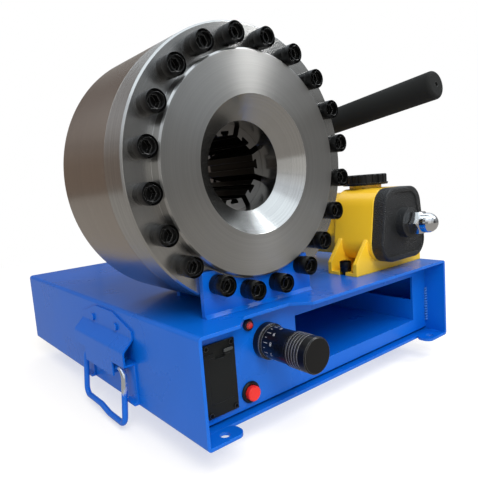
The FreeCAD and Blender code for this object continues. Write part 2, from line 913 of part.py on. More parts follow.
def bracket_points():
    """Bolt positions that the front bracket covers, as angles from straight up."""
    step = 360 / cell.bolt_count.value
    angles = []
    for index in range(int(cell.bolt_count.value)):
        angle = (index + 0.5) * step
        x = head_x.value + bolt_circle.value * math.sin(math.radians(angle))
        z = head_z.value + bolt_circle.value * math.cos(math.radians(angle))
        under = z < (base_top + cell.bracket_right_rise).value + cell.bolt_size.value / 2
        between = left_side.value + cell.bracket_left.value < x < left_side.value + cell.bracket_right.value
        if under and between:
            angles.append(index + 0.5)
    return angles


def bolt_angle(turn):
    step = Size("(360 / %s)" % cell.bolt_count.text, 360 / cell.bolt_count.value)
    return step * turn


def make_head_bracket():
    """Plate that carries the head: its top edge follows the raised disc, four bolts pass through it."""
    body = new_body("head_bracket")
    outline = new_sketch(body, "XZ_Plane", -ring_front)
    left = left_side + cell.bracket_left
    right = left_side + cell.bracket_right
    left_up = base_top + cell.bracket_left_rise
    right_up = base_top + cell.bracket_right_rise
    add_polygon(outline, [
        (left, base_top), (right, base_top), (right, base_top + cell.bracket_step_rise),
        (right - cell.bracket_lean, right_up), (head_x, right_up), (head_x, left_up), (left, left_up)])
    pad(body, outline, cell.bracket_thick)
    arc = new_sketch(body, "XZ_Plane", -ring_front)
    add_circle(arc, head_x, head_z, boss_radius + cell.bracket_arc_gap)
    for turn in bracket_points():
        angle = bolt_angle(turn)
        add_circle(arc, head_x + bolt_circle * sine(angle), head_z + bolt_circle * cosine(angle),
                   (cell.bolt_size + cell.bolt_clearance) / 2)
    pocket(body, arc, cell.bracket_thick * 4, middle=True)
    # Weld bead along the foot.
    bead = new_sketch(body, "YZ_Plane", left)
    toe = ring_front - cell.bracket_thick
    add_polygon(bead, [
        (toe, base_top), (toe, base_top + cell.sheet_wall),
        (toe - cell.sheet_wall, base_top)])
    pad(body, bead, right - left)
    return keep(body)


def make_head_saddle():
    """Cradle plate under the barrel, welded across the base's top."""
    body = new_body("head_saddle")
    rear = front_edge + cell.saddle_setback + cell.saddle_thick
    outline = new_sketch(body, "XZ_Plane", -rear)
    half = cell.saddle_half
    add_rectangle(outline, head_x - half, head_x + half, base_top, base_top + cell.saddle_rise)
    pad(body, outline, cell.saddle_thick)
    arc = new_sketch(body, "XZ_Plane", -rear)
    add_circle(arc, head_x, head_z, cell.ring_radius + cell.seat_gap)
    pocket(body, arc, cell.saddle_thick * 4, middle=True)
    return keep(body)


def make_head_bolts():
    """Socket head cap screws round the front ring; those through the bracket stand further out."""
    bodies = []
    covered = bracket_points()
    head = cell.bolt_size
    for index in range(int(cell.bolt_count.value)):
        turn = index + 0.5
        lift = cell.bracket_thick if turn in covered else Size("0", 0)
        body = new_body("head_bolt_%02d" % (index + 1))
        angle = bolt_angle(turn)
        place(body, head_x + bolt_circle * sine(angle), ring_front - lift,
              head_z + bolt_circle * cosine(angle))
        profile = new_sketch(body, "YZ_Plane")
        add_polygon(profile, [
            (cell.bolt_length - lift, 0.0), (cell.bolt_length - lift, cell.bolt_size / 2),
            (0.0, cell.bolt_size / 2), (0.0, cell.bolt_head / 2), (-head + 0.8, cell.bolt_head / 2),
            (-head, cell.bolt_head / 2 - 0.8), (-head, 0.0)])
        revolve(body, profile)
        socket = new_sketch(body, "XZ_Plane", head)
        add_hexagon(socket, Size("0", 0), Size("0", 0), cell.bolt_socket)
        pocket(body, socket, cell.bolt_socket_depth)
        bodies.append(body)
    group = doc.addObject("Part::Compound", "head_bolts")
    group.Links = bodies
    return keep(group)


def make_dies():
    """Master dies: wedge-backed segments with a dovetail notch for the crimping inserts."""
    front = ring_rear + cell.die_gap
    half_step = Size("(180 / %s)" % cell.die_count.text, 180 / cell.die_count.value)
    side = cell.die_slot / 2 / cosine(half_step)
    low = cell.die_inner * tangent(half_step) - side
    high = die_outer * tangent(half_step) - side
    back = die_outer - cell.die_slope * cell.die_length
    for index in range(int(cell.die_count.value)):
        body = new_body("die_%d" % (index + 1))
        place(body, head_x, front, head_z, (0, 1, 0), cell.die_turn + 2 * half_step * index)
        outline = new_sketch(body, "XZ_Plane", -cell.die_length)
        add_polygon(outline, [
            (-low, cell.die_inner), (low, cell.die_inner), (high, die_outer), (-high, die_outer)])
        pad(body, outline, cell.die_length)
        wedge = new_sketch(body, "YZ_Plane")
        add_polygon(wedge, [
            (0.0, die_outer), (cell.die_length, back), (cell.die_length, die_outer + 1),
            (0.0, die_outer + 1)])
        pocket(body, wedge, 4 * high, middle=True)
        notch = new_sketch(body, "XZ_Plane")
        mouth = cell.notch_mouth / 2
        floor = cell.notch_floor / 2
        add_polygon(notch, [
            (-mouth, cell.die_inner - 1), (mouth, cell.die_inner - 1), (mouth, cell.die_inner + 1),
            (floor, cell.die_inner + 2), (floor, cell.die_inner + cell.notch_cut),
            (-floor, cell.die_inner + cell.notch_cut), (-floor, cell.die_inner + 2),
            (-mouth, cell.die_inner + 1)])
        pocket(body, notch, 3 * cell.die_length, middle=True)
        keep(body)


def make_piston():
    """Sleeve piston: an eight-sided tapered bore closes on the dies, a round tail guides it."""
    start = cell.piston_front
    rear = cell.barrel_length - cell.barrel_floor - cell.piston_rear_gap
    taper_end = cell.die_gap + cell.die_length + cell.piston_run_on + cell.die_travel / cell.die_slope
    outer = barrel_bore - cell.running_fit
    groove = outer - cell.seal_depth
    width = cell.seal_width
    body = new_body("piston")
    place(body, head_x, ring_rear, head_z)
    profile = new_sketch(body, "YZ_Plane")
    add_polygon(profile, [
        (start, 0.0), (start, outer - 1), (start + 1, outer), (rear - 3 * width, outer),
        (rear - 3 * width, groove), (rear - 2 * width, groove), (rear - 2 * width, outer),
        (rear - 1, outer), (rear, outer - 1), (rear, tail_radius), (taper_end, tail_radius),
        (taper_end, 0.0)])
    revolve(body, profile)
    # The bore narrows towards the rear with the same slope as the dies' backs.
    half_step = Size("(180 / %s)" % cell.die_count.text, 180 / cell.die_count.value)
    sections = []
    for at in (start, taper_end):
        flat = die_outer - cell.die_slope * (at - cell.die_gap) + cell.seat_gap
        reach = flat / cosine(half_step)
        section = new_sketch(body, "XZ_Plane", -at)
        corners = []
        for index in range(int(cell.die_count.value)):
            angle = cell.die_turn + half_step * (2 * index + 1)
            corners.append((reach * sine(angle), reach * cosine(angle)))
        add_polygon(section, corners)
        sections.append(section)
    doc.recompute()
    before = body.Shape.Volume
    taper = body.newObject("PartDesign::SubtractiveLoft", "piston_taper")
    taper.Profile = sections[0]
    taper.Sections = [sections[1]]
    taper.Ruled = True
    doc.recompute()
    if body.Shape.Volume >= before:
        raise RuntimeError("the piston's bore cut nothing")
    keep(body)
    tail = new_body("piston_tail")
    place(tail, head_x, ring_rear, head_z)
    tube = new_sketch(tail, "YZ_Plane")
    end = cell.barrel_length + cell.piston_tail_proud
    add_polygon(tube, [
        (taper_end, tail_bore), (taper_end, tail_radius), (end - 1, tail_radius),
        (end, tail_radius - 1), (end, tail_bore + 1), (end - 1, tail_bore)])
    revolve(tail, tube)
    keep(tail)
    seal = new_body("piston_seal")
    place(seal, head_x, ring_rear, head_z)
    ring = new_sketch(seal, "YZ_Plane")
    add_rectangle(ring, rear - 3 * width, rear - 2 * width, groove, outer)
    revolve(seal, ring)
    keep(seal)


def make_port_fitting():
    """Hose connector screwed into the barrel's side, towards the pump."""
    body = new_body("port_fitting_blank")
    seat = cell.ring_radius * cosine(Size("4", 4))
    y = barrel_rear - cell.barrel_floor - cell.piston_rear_gap / 2
    place(body, head_x + seat, y, head_z)
    hexagon = new_sketch(body, "YZ_Plane")
    add_hexagon(hexagon, Size("0", 0), Size("0", 0), cell.port_hex)
    pad(body, hexagon, cell.port_length / 2 + cell.ring_radius - seat)
    nose = new_sketch(body, "YZ_Plane")
    add_circle(nose, 0.0, 0.0, cell.port_hex / 2 - 3)
    pad(body, nose, cell.port_length + cell.ring_radius - seat)
    bore = new_sketch(body, "YZ_Plane")
    add_circle(bore, 0.0, 0.0, cell.port_bore / 2)
    pocket(body, bore, middle=True)
    tool = cylinder("port_seat_tool", cell.ring_radius + cell.seat_gap, cell.barrel_length, head_x, ring_rear,
                    head_z, (1, 0, 0), -90)
    fitted = cut_away("port_fitting", body, tool)
    return keep(fitted)


def trapezoid(sketch, half_low, half_high, bottom, top):
    add_polygon(sketch, [(-half_low, bottom), (half_low, bottom), (half_high, top), (-half_high, top)])


def rounded_trapezoid(sketch, half_low, half_high, bottom, top, radius):
    """A trapezoid whose corners are rounded off in six short steps each."""
    points = []
    for turn, half, up, sideways in ((-90, half_low, 1, 1), (0, half_high, -1, 1), (90, half_high, -1, -1),
                                     (180, half_low, 1, -1)):
        across = sideways * (half - radius)
        height = bottom + radius if up > 0 else top - radius
        for step in range(7):
            angle = math.radians(turn + 15 * step)
            points.append((across + radius * math.cos(angle), height + radius * math.sin(angle)))
    add_polygon(sketch, points)


def make_pump_case():
    """Cast oil reservoir: a rounded trapezoid case, a slimmer tank behind it and two webbed feet."""
    body = new_body("pump_case")
    front = front_edge + cell.pump_front
    place(body, pump_x, front, 0.0)
    length = cell.pump_case_length
    case = new_sketch(body, "XZ_Plane", -length)
    trapezoid(case, cell.pump_case_wide / 2, cell.pump_case_narrow / 2, case_low,
              case_high)
    pad(body, case, length)
    dress(body, "Fillet", cell.pump_case_round, lambda edge: runs_along(edge, "y"))
    tank = new_sketch(body, "XZ_Plane", -length - cell.tank_length)
    inset = cell.tank_inset
    rise = cell.tank_rise
    wide = cell.pump_case_wide / 2 - inset
    narrow = cell.pump_case_narrow / 2 - inset
    low = case_low + rise
    high = case_high - rise
    belt = low + cell.tank_slant_rise
    add_polygon(tank, [
        (-wide + cell.tank_slant, low), (wide - cell.tank_slant, low), (wide, belt),
        (wide, belt + cell.tank_belt), (narrow, high - cell.tank_shoulder_drop),
        (narrow - cell.tank_shoulder, high), (-narrow + cell.tank_shoulder, high),
        (-narrow, high - cell.tank_shoulder_drop), (-wide, belt + cell.tank_belt), (-wide, belt)])
    pad(body, tank, cell.tank_length)
    # Each foot is a flange on the base's top between two upright webs.
    setbacks = [cell.foot_setback - cell.pump_front,
                length + cell.tank_length - cell.foot_depth]
    for setback in setbacks:
        flange = new_sketch(body, "XY_Plane", base_top)
        add_rectangle(flange, -cell.foot_half, cell.foot_half, setback, setback + cell.foot_depth)
        pad(body, flange, cell.foot_thick)
        for at in (setback, setback + cell.foot_depth - cell.foot_web):
            web = new_sketch(body, "XZ_Plane", -at - cell.foot_web)
            knee = base_top + cell.foot_knee_rise
            peak = base_top + cell.foot_peak_rise
            add_polygon(web, [
                (-cell.foot_half, base_top), (cell.foot_half, base_top), (cell.foot_half, knee),
                (cell.foot_peak_half, peak), (-cell.foot_peak_half, peak), (-cell.foot_half, knee)])
            pad(body, web, cell.foot_web)
        slots = new_sketch(body, "XY_Plane", base_top)
        middle = setback + cell.foot_depth / 2
        half = cell.foot_slot / 2
        for side in (-1, 1):
            outer = side * (cell.foot_half + 1)
            inner = side * (cell.foot_half - cell.foot_screw_inset - half)
            if side < 0:
                add_rectangle(slots, outer, inner, middle - half, middle + half)
            else:
                add_rectangle(slots, inner, outer, middle - half, middle + half)
        pocket(body, slots, 3 * cell.foot_thick, middle=True)
    neck = new_sketch(body, "XY_Plane", case_high - cell.sheet_wall)
    add_circle(neck, 0.0, cell.filler_setback - cell.pump_front, cell.filler_neck)
    pad(body, neck, cell.sheet_wall + cell.filler_neck_height)
    return keep(body)


def make_pump_screws():
    """Socket screws that hold the pump's feet to the base."""
    bodies = []
    case_front = front_edge + cell.pump_front
    setbacks = [cell.foot_setback - cell.pump_front,
                cell.pump_case_length + cell.tank_length - cell.foot_depth]
    seat = base_top + cell.foot_thick
    for end, setback in enumerate(setbacks):
        for side in (-1, 1):
            name = "pump_screw_%d_%s" % (end + 1, "left" if side < 0 else "right")
            x = pump_x + side * (cell.foot_half - cell.foot_screw_inset)
            y = case_front + setback + cell.foot_depth / 2
            body = new_body(name)
            place(body, x, y, seat)
            profile = new_sketch(body, "XZ_Plane")
            add_polygon(profile, [
                (0.0, -cell.foot_thick), (cell.foot_screw / 2, -cell.foot_thick),
                (cell.foot_screw / 2, 0.0), (cell.foot_screw_head / 2, 0.0),
                (cell.foot_screw_head / 2, cell.foot_screw - 0.6),
                (cell.foot_screw_head / 2 - 0.6, cell.foot_screw), (0.0, cell.foot_screw)])
            revolve(body, profile, "Z_Axis")
            socket = new_sketch(body, "XY_Plane", cell.foot_screw)
            add_hexagon(socket, Size("0", 0), Size("0", 0), cell.foot_screw * 0.75)
            pocket(body, socket, cell.foot_screw / 2)
            bodies.append(body)
    group = doc.addObject("Part::Compound", "pump_screws")
    group.Links = bodies
    return keep(group)


def make_end_cap():
    """Moulded rubber cap over the reservoir's front, with a raised border and a nut boss."""
    body = new_body("pump_end_cap")
    front = front_edge + cell.pump_front
    place(body, pump_x, front, 0.0)
    depth = cell.endcap_depth
    outline = new_sketch(body, "XZ_Plane")
    trapezoid(outline, cell.endcap_wide / 2, cell.endcap_narrow / 2, case_low,
              case_high)
    pad(body, outline, depth)
    dress(body, "Fillet", cell.endcap_round, lambda edge: runs_along(edge, "y"))
    dress(body, "Fillet", cell.endcap_edge,
          lambda edge: near(edge.BoundBox.YMin, -depth) and near(edge.BoundBox.YMax, -depth))
    border = cell.endcap_border
    field = new_sketch(body, "XZ_Plane", depth)
    rounded_trapezoid(field, cell.endcap_wide / 2 - border, cell.endcap_narrow / 2 - border,
                      case_low + border, case_high - border,
                      cell.endcap_round - border)
    pocket(body, field, cell.endcap_panel)
    boss = new_sketch(body, "XZ_Plane", depth - cell.endcap_panel)
    add_circle(boss, 0.0, nut_up, cell.endcap_boss)
    pad(body, boss, cell.endcap_panel + cell.endcap_boss_proud)
    return keep(body)


def make_cap_nut():
    """Chromed domed nut on the reservoir's tie rod."""
    body = new_body("pump_cap_nut")
    face = front_edge + cell.pump_front - cell.endcap_depth - cell.endcap_boss_proud
    place(body, pump_x, face, nut_up)
    hexagon = new_sketch(body, "XZ_Plane")
    add_hexagon(hexagon, Size("0", 0), Size("0", 0), cell.nut_flats)
    pad(body, hexagon, cell.nut_hex)
    corner = cell.nut_flats / math.sqrt(3)
    trim = new_sketch(body, "YZ_Plane")
    add_polygon(trim, [
        (-cell.nut_hex, corner - 2), (-cell.nut_hex, corner + 1), (-cell.nut_hex + 2, corner + 1),
        (-cell.nut_hex + 2, corner)])
    revolve(body, trim, cut=True)
    dome = new_sketch(body, "YZ_Plane")
    radius = cell.nut_dome
    straight = -cell.nut_dome_length + radius
    points = [(-cell.nut_hex + 1, 0.0), (-cell.nut_hex + 1, radius), (straight, radius)]
    for step in (1, 2, 3, 4, 5):
        angle = Size("%d" % (15 * step), 15 * step)
        points.append((straight - radius * sine(angle), radius * cosine(angle)))
    points.append((straight - radius, 0.0))
    add_polygon(dome, points)
    revolve(body, dome)
    return keep(body)


def make_filler_cap():
    """Ribbed oil filler cap on the reservoir's neck."""
    body = new_body("filler_cap")
    seat = case_high + cell.filler_neck_height
    place(body, pump_x, front_edge + cell.filler_setback, seat)
    profile = new_sketch(body, "XZ_Plane")
    brim = cell.filler_brim_height
    crown = brim + cell.filler_crown_height
    add_polygon(profile, [
        (0.0, 0.0), (cell.filler_brim - 0.6, 0.0), (cell.filler_brim, brim), (cell.filler_crown, brim),
        (cell.filler_crown, crown - 1), (cell.filler_crown - 1, crown), (0.0, crown)])
    revolve(body, profile, "Z_Axis")
    flute = new_sketch(body, "XY_Plane", brim)
    pitch = math.pi * cell.filler_crown / cell.filler_ribs
    depth = cell.filler_rib_cut
    add_polygon(flute, [
        (cell.filler_crown - depth, -pitch / 3), (cell.filler_crown + 1, -pitch / 3 - 0.5),
        (cell.filler_crown + 1, pitch / 3 + 0.5), (cell.filler_crown - depth, pitch / 3)])
    first = pocket(body, flute, cell.filler_crown_height + 1, reverse=True)
    repeat_round(body, [first], "Z_Axis", cell.filler_ribs)
    return keep(body)


def make_pump_block():
    """Pump block behind the tank, with two ears for the lever and the plunger's bore."""
    body = new_body("pump_block")
    place(body, pump_x, tank_rear, 0.0)
    outline = new_sketch(body, "XY_Plane", base_top)
    half = cell.block_half
    add_rectangle(outline, -half, half, 0.0, cell.block_length)
    pad(body, outline, block_up - base_top)
    dress(body, "Fillet", Size("6", 6), lambda edge: runs_along(edge, "z"))
    for side in (-1, 1):
        start = side * cell.ear_half
        ear = new_sketch(body, "YZ_Plane", start if side > 0 else start - cell.ear_thick)
        reach = cell.ear_length / 2
        top = pivot_up + reach
        add_polygon(ear, [
            (cell.pivot_inset - reach - 4, block_up - 1), (cell.pivot_inset + reach, block_up - 1),
            (cell.pivot_inset + reach, top - 8), (cell.pivot_inset + reach - 8, top),
            (cell.pivot_inset - reach + 8, top), (cell.pivot_inset - reach, top - 8)])
        pad(body, ear, cell.ear_thick)
    pin = new_sketch(body, "YZ_Plane")
    add_circle(pin, cell.pivot_inset, pivot_up, cell.pivot_pin / 2 + cell.running_fit)
    pocket(body, pin, 4 * cell.block_half, middle=True)
    bore = new_sketch(body, "XY_Plane", block_up)
    add_circle(bore, 0.0, cell.pivot_inset - cell.plunger_offset, cell.plunger_rod / 2 + cell.running_fit)
    pocket(body, bore, block_up - base_top - cell.bore_floor)
    # Threaded hole for the release screw and outlet on the left.
    side_hole = new_sketch(body, "YZ_Plane")
    add_circle(side_hole, cell.block_length - cell.port_inset, base_top + cell.port_rise, cell.port_bore / 2)
    pocket(body, side_hole, cell.block_half + 5)
    return keep(body)


def make_pump_gland():
    """Hexagon gland round the plunger on top of the block."""
    body = new_body("plunger_gland")
    place(body, pump_x, plunger_y, block_up)
    outline = new_sketch(body, "XY_Plane")
    add_hexagon(outline, Size("0", 0), Size("0", 0), cell.gland_nut - 4)
    add_circle(outline, 0.0, 0.0, cell.plunger_rod / 2 + cell.running_fit)
    pad(body, outline, cell.gland_height)
    return keep(body)


def make_plunger():
    """Pump plunger with a flat head that the lever presses on."""
    body = new_body("plunger")
    place(body, pump_x, plunger_y, 0.0)
    profile = new_sketch(body, "XZ_Plane")
    top = plunger_up
    neck = top - cell.plunger_head_height
    rod = cell.plunger_rod / 2
    low = base_top + cell.bore_floor + cell.foot_thick
    add_polygon(profile, [
        (0.0, low), (rod, low), (rod, neck), (cell.plunger_head / 2, neck), (cell.plunger_head / 2, top - 1),
        (cell.plunger_head / 2 - 1, top), (0.0, top)])
    revolve(body, profile, "Z_Axis")
    return keep(body)


def make_lever():
    """Pump lever: a pivoted yoke with a socket, the steel tube in it and the foam grip."""
    tilt = cell.lever_angle
    # In the lever's own frame +X is its axis, running from the pivot to the hand.
    yoke = new_body("lever_yoke")
    half = cell.lever_plate / 2
    plate = new_sketch(yoke, "XZ_Plane", -half)
    eye = cell.lever_eye
    rise = lever_rise()
    pad_low = cell.plunger_rise - cell.pivot_rise
    end = cell.yoke_length
    add_polygon(plate, [
        (-eye, -eye * 0.6), (-eye, eye * 0.7), (-eye * 0.4, rise + cell.socket_tube / 2 - 4),
        (end / 3, rise + cell.socket_tube / 2), (end, rise + cell.socket_tube / 2),
        (end, rise - cell.socket_tube / 2), (cell.plunger_offset + 10, pad_low + 4.5),
        (cell.plunger_offset + 4, pad_low + 0.2), (cell.plunger_offset - 4, pad_low + 0.2),
        (cell.plunger_offset - 12, pad_low + 4), (eye * 0.5, -eye)])
    pad(yoke, plate, cell.lever_plate)
    socket = new_sketch(yoke, "YZ_Plane", cell.socket_start)
    add_circle(socket, 0.0, rise, cell.socket_tube / 2)
    pad(yoke, socket, cell.socket_length)
    hole = new_sketch(yoke, "XZ_Plane")
    add_circle(hole, 0.0, 0.0, cell.pivot_pin / 2 + cell.running_fit)
    pocket(yoke, hole, 4 * half, middle=True)
    bore = new_sketch(yoke, "YZ_Plane", cell.socket_start + cell.socket_length)
    add_circle(bore, 0.0, rise, cell.lever_tube / 2 + cell.running_fit)
    pocket(yoke, bore, cell.socket_length - cell.socket_floor)
    turn_to_front(yoke)
    keep(yoke)
    length = lever_length()
    start = cell.socket_start + cell.socket_floor
    tube = new_body("lever_tube")
    ring = new_sketch(tube, "YZ_Plane", start)
    add_circle(ring, 0.0, rise, cell.lever_tube / 2)
    pad(tube, ring, length - start - cell.grip_end)
    turn_to_front(tube)
    keep(tube)
    grip = new_body("lever_grip")
    outline = new_sketch(grip, "YZ_Plane", length - cell.grip_length)
    add_circle(outline, 0.0, rise, cell.grip_diameter / 2)
    pad(grip, outline, cell.grip_length)
    dress(grip, "Fillet", cell.grip_round, lambda edge: near(edge.BoundBox.XMin, length)
          and near(edge.BoundBox.XMax, length))
    inside = new_sketch(grip, "YZ_Plane", length - cell.grip_length)
    add_circle(inside, 0.0, rise, cell.grip_bore / 2)
    pocket(grip, inside, cell.grip_length - cell.grip_end, reverse=True)
    tip = new_sketch(grip, "YZ_Plane", length)
    add_circle(tip, 0.0, rise, cell.grip_hole / 2)
    pocket(grip, tip, cell.grip_end)
    turn_to_front(grip)
    keep(grip)
    pin = cylinder("lever_pin", cell.pivot_pin / 2, 2 * (cell.ear_half + cell.ear_thick) + 6,
                   pump_x - cell.ear_half - cell.ear_thick - 3, pivot_y, pivot_up, (0, 1, 0), 90)
    keep(pin)


def lever_rise():
    """Height of the lever's axis over the pivot, measured square to the axis."""
    return cell.socket_tube / 2 + cell.lever_clear


def lever_length():
    """From the pivot to the grip's end, along the lever's axis."""
    return (pivot_y - front_edge + cell.lever_reach) / cosine(cell.lever_angle)


def turn_to_front(body):
    """Turn a piece drawn along +X so that it points at the operator and a little up."""
    lean = Rotation(Vector(0, 1, 0), -cell.lever_angle.value)
    face = Rotation(Vector(0, 0, 1), -90)
    body.Placement = FreeCAD.Placement(
        Vector(pump_x.value, pivot_y.value, pivot_up.value), face.multiply(lean))
    body.setExpression("Placement.Base.x", pump_x.text)
    body.setExpression("Placement.Base.y", pivot_y.text)
    body.setExpression("Placement.Base.z", pivot_up.text)


def make_release_knob():
    """Lobed release valve knob on the pump block's right."""
    body = new_body("release_knob")
    place(body, pump_x + cell.block_half, tank_rear + cell.block_length - cell.port_inset,
          base_top + cell.port_rise)
    stem = new_sketch(body, "YZ_Plane")
    add_circle(stem, 0.0, 0.0, cell.port_bore / 2)
    pad(body, stem, cell.knob_across)
    disc = new_sketch(body, "YZ_Plane", cell.knob_across)
    add_circle(disc, 0.0, 0.0, cell.knob_radius)
    pad(body, disc, cell.knob_thick)
    scallop = new_sketch(body, "YZ_Plane", cell.knob_across)
    add_circle(scallop, cell.knob_radius + 2, 0.0, cell.knob_radius / 3)
    first = pocket(body, scallop, cell.knob_thick, reverse=True)
    repeat_round(body, [first], "X_Axis", cell.knob_lobes)
    return keep(body)


def make_handle_plate(side):
    """Pressed plate of a carry handle: a hump with an open curtain, and a strip down each end."""
    name = "handle_plate_left" if side < 0 else "handle_plate_right"
    body = new_body(name)
    turn = 0.0 if side < 0 else 180.0
    y = front_edge + cell.handle_centre
    place(body, side * half_width, y, 0.0, (0, 0, 1), turn)
    half = cell.handle_width / 2
    thick = cell.handle_thick
    out = cell.hump_out
    outline = new_sketch(body, "XZ_Plane", -half)
    add_polygon(outline, [
        (0.0, handle_top), (-thick, handle_top), (-thick, hump_start),
        (-out, hump_top), (-out, curtain_bottom), (thick - out, curtain_bottom),
        (thick - out, hump_top - thick / 2), (0.0, hump_start - thick / 2)])
    pad(body, outline, cell.handle_width)
    dress(body, "Fillet", cell.hump_bend, lambda edge: runs_along(edge, "y") and (
        near(middle_of(edge).x, -out) and near(middle_of(edge).z, hump_top)
        or near(middle_of(edge).x, 0) and near(middle_of(edge).z, hump_start - thick / 2)))
    dress(body, "Fillet", cell.hump_bend - thick, lambda edge: runs_along(edge, "y") and (
        near(middle_of(edge).x, thick - out) and near(middle_of(edge).z, hump_top - thick / 2)
        or near(middle_of(edge).x, -thick) and near(middle_of(edge).z, hump_start)))
    shoulders = new_sketch(body, "YZ_Plane")
    flat = cell.handle_flat / 2
    for end in (-1, 1):
        add_polygon(shoulders, [
            (end * (half + 1), handle_top + 1), (end * flat, handle_top + 1),
            (end * flat, handle_top), (end * (half + 1), shoulder_up)])
    pocket(body, shoulders, 4 * out, middle=True)
    dress(body, "Fillet", cell.handle_arch, lambda edge: runs_along(edge, "x")
          and near(middle_of(edge).z, handle_top) and near(abs(middle_of(edge).y), flat))
    # At both ends the curtain stops higher up, so that the bail's legs can swing out.
    notches = new_sketch(body, "XY_Plane", strip_top - thick)
    for end in (-1, 1):
        low = cell.notch_start if end > 0 else -half - 1
        add_rectangle(notches, -out - 1, thick / 2 - out + thick, low, low + half + 1 - cell.notch_start)
    pocket(body, notches, strip_top - thick - curtain_bottom + 1)
    for end in (-1, 1):
        start = half if end > 0 else cell.strip_width - half
        strip = new_sketch(body, "XZ_Plane", -start)
        add_polygon(strip, [
            (-out, strip_top), (0.0, strip_top), (0.0, cell.handle_bottom),
            (-cell.handle_lip, cell.handle_bottom), (-cell.handle_lip, cell.handle_bottom + thick),
            (-thick, cell.handle_bottom + 2 * thick), (-thick, strip_top - thick),
            (-out, strip_top - thick)])
        pad(body, strip, cell.strip_width)
    # Two bearings behind the curtain hold the bail's pins.
    reach = cell.bearing_size / 2
    for end in (-1, 1):
        start = cell.bearing_from + cell.bearing_length if end > 0 else -cell.bearing_from
        bearing = new_sketch(body, "XZ_Plane", -start)
        add_rectangle(bearing, thick - out, 0.0, bail_up - reach, bail_up + reach)
        pad(body, bearing, cell.bearing_length)
    pin = new_sketch(body, "XZ_Plane")
    add_circle(pin, -cell.bail_out, bail_up, cell.bail_rod / 2 + cell.running_fit)
    pocket(body, pin, 2 * cell.notch_start, middle=True)
    keep(body)
    rivets = []
    for index, end in enumerate((-1, 1)):
        across = side * (half_width + thick)
        rivets.append(cylinder("%s_rivet_%d" % (name, index + 1), cell.rivet_head / 2, cell.rivet_height,
                               across, y + end * cell.rivet_spacing / 2, rivet_up,
                               (0, 1, 0), 90.0 * side))
    keep(join("handle_rivets_left" if side < 0 else "handle_rivets_right", rivets))


def bent_rod(points, bends, radius):
    """A round rod through the given points, with a tangent bend at every inner one."""
    pieces = []
    current = points[0]
    for index in range(1, len(points)):
        corner = points[index]
        back = points[index - 1].sub(corner).normalize()
        finish = corner
        if index < len(points) - 1:
            ahead = points[index + 1].sub(corner).normalize()
            half = back.getAngle(ahead) / 2
            finish = corner.add(Vector(back).multiply(bends[index - 1] / math.tan(half)))
        run = finish.sub(current)
        pieces.append(Part.makeCylinder(radius, run.Length, current, run))
        if index < len(points) - 1:
            centre = corner.add(back.add(ahead).normalize().multiply(bends[index - 1] / math.sin(half)))
            section = Part.Face(Part.Wire(Part.Circle(finish, back, radius).toShape()))
            turn = 180 - math.degrees(2 * half)
            pieces.append(section.revolve(centre, ahead.cross(back), turn))
            current = corner.add(Vector(ahead).multiply(bends[index - 1] / math.tan(half)))
    rod = pieces[0].multiFuse(pieces[1:])
    return rod.removeSplitter()


def make_bail(side):
    """Bent rod handle: its pins turn in the plate's bearings and it hangs a little outwards."""
    name = "handle_bail_left" if side < 0 else "handle_bail_right"
    half = cell.bail_half.value
    bend = cell.bail_bend.value
    drop = cell.bail_drop.value
    kink = cell.bail_kink.value
    inner = half - cell.bail_pin.value
    points = [
        Vector(0, -inner, 0), Vector(0, -half, 0), Vector(0, -half, -drop), Vector(0, -half / 4, -drop),
        Vector(0, half / 6, kink - drop), Vector(0, half, kink - drop), Vector(0, half, 0),
        Vector(0, inner, 0)]
    bends = [bend, bend, 2 * bend, 2 * bend, bend, bend]
    thing = doc.addObject("Part::Feature", name)
    thing.Shape = bent_rod(points, bends, cell.bail_rod.value / 2)
    thing.Label = name
    y = front_edge + cell.handle_centre
    swing = cell.bail_swing if side < 0 else -cell.bail_swing
    place(thing, side * (half_width + cell.bail_out), y, bail_up, (0, 1, 0), swing)
    return keep(thing)


make_base_shell()
make_front_panel()
make_bottom_plate()
make_rear_panel()
make_bay_tray()
make_battery_case()
make_battery_drawer()
make_battery_screws()
make_lamp()
make_button()
make_dial()
make_front_ring()
make_barrel()
make_head_bracket()
make_head_saddle()
make_head_bolts()
make_dies()
make_piston()
make_port_fitting()
make_pump_case()
make_pump_screws()
make_end_cap()
make_cap_nut()
make_filler_cap()
make_pump_block()
make_pump_gland()
make_plunger()
make_lever()
make_release_knob()
for hand in (-1, 1):
    make_handle_plate(hand)
    make_bail(hand)

doc.recompute()
for thing in doc.Objects:
    if "Invalid" in thing.State or "Error" in thing.State:
        raise RuntimeError("%s failed: %s" % (thing.Label, thing.State))
for thing in nodes:
    shape = thing.Shape
    if shape.isNull() or not shape.isValid() or shape.Volume <= 0:
        raise RuntimeError("%s has no valid solid" % thing.Label)
for thing in nodes:
    thing.Shape.exportStep(os.path.join("parts", thing.Label + ".step"))
    print("%-22s %d solid(s) %10.0f mm3" % (thing.Label, len(thing.Shape.Solids), thing.Shape.Volume))
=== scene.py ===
# %% [markdown]
# # A hose crimping machine, dressed for its picture
# The machine's solids come ready made and exact, so this lesson adds what they lack: the light, the
# finishes, and the small pieces that no drawing bothers with, such as knurls, weld beads and the dial's
# numbers. We load the solids first, because everything else is placed against them.

import math

import bpy
from mathutils import Matrix, Vector


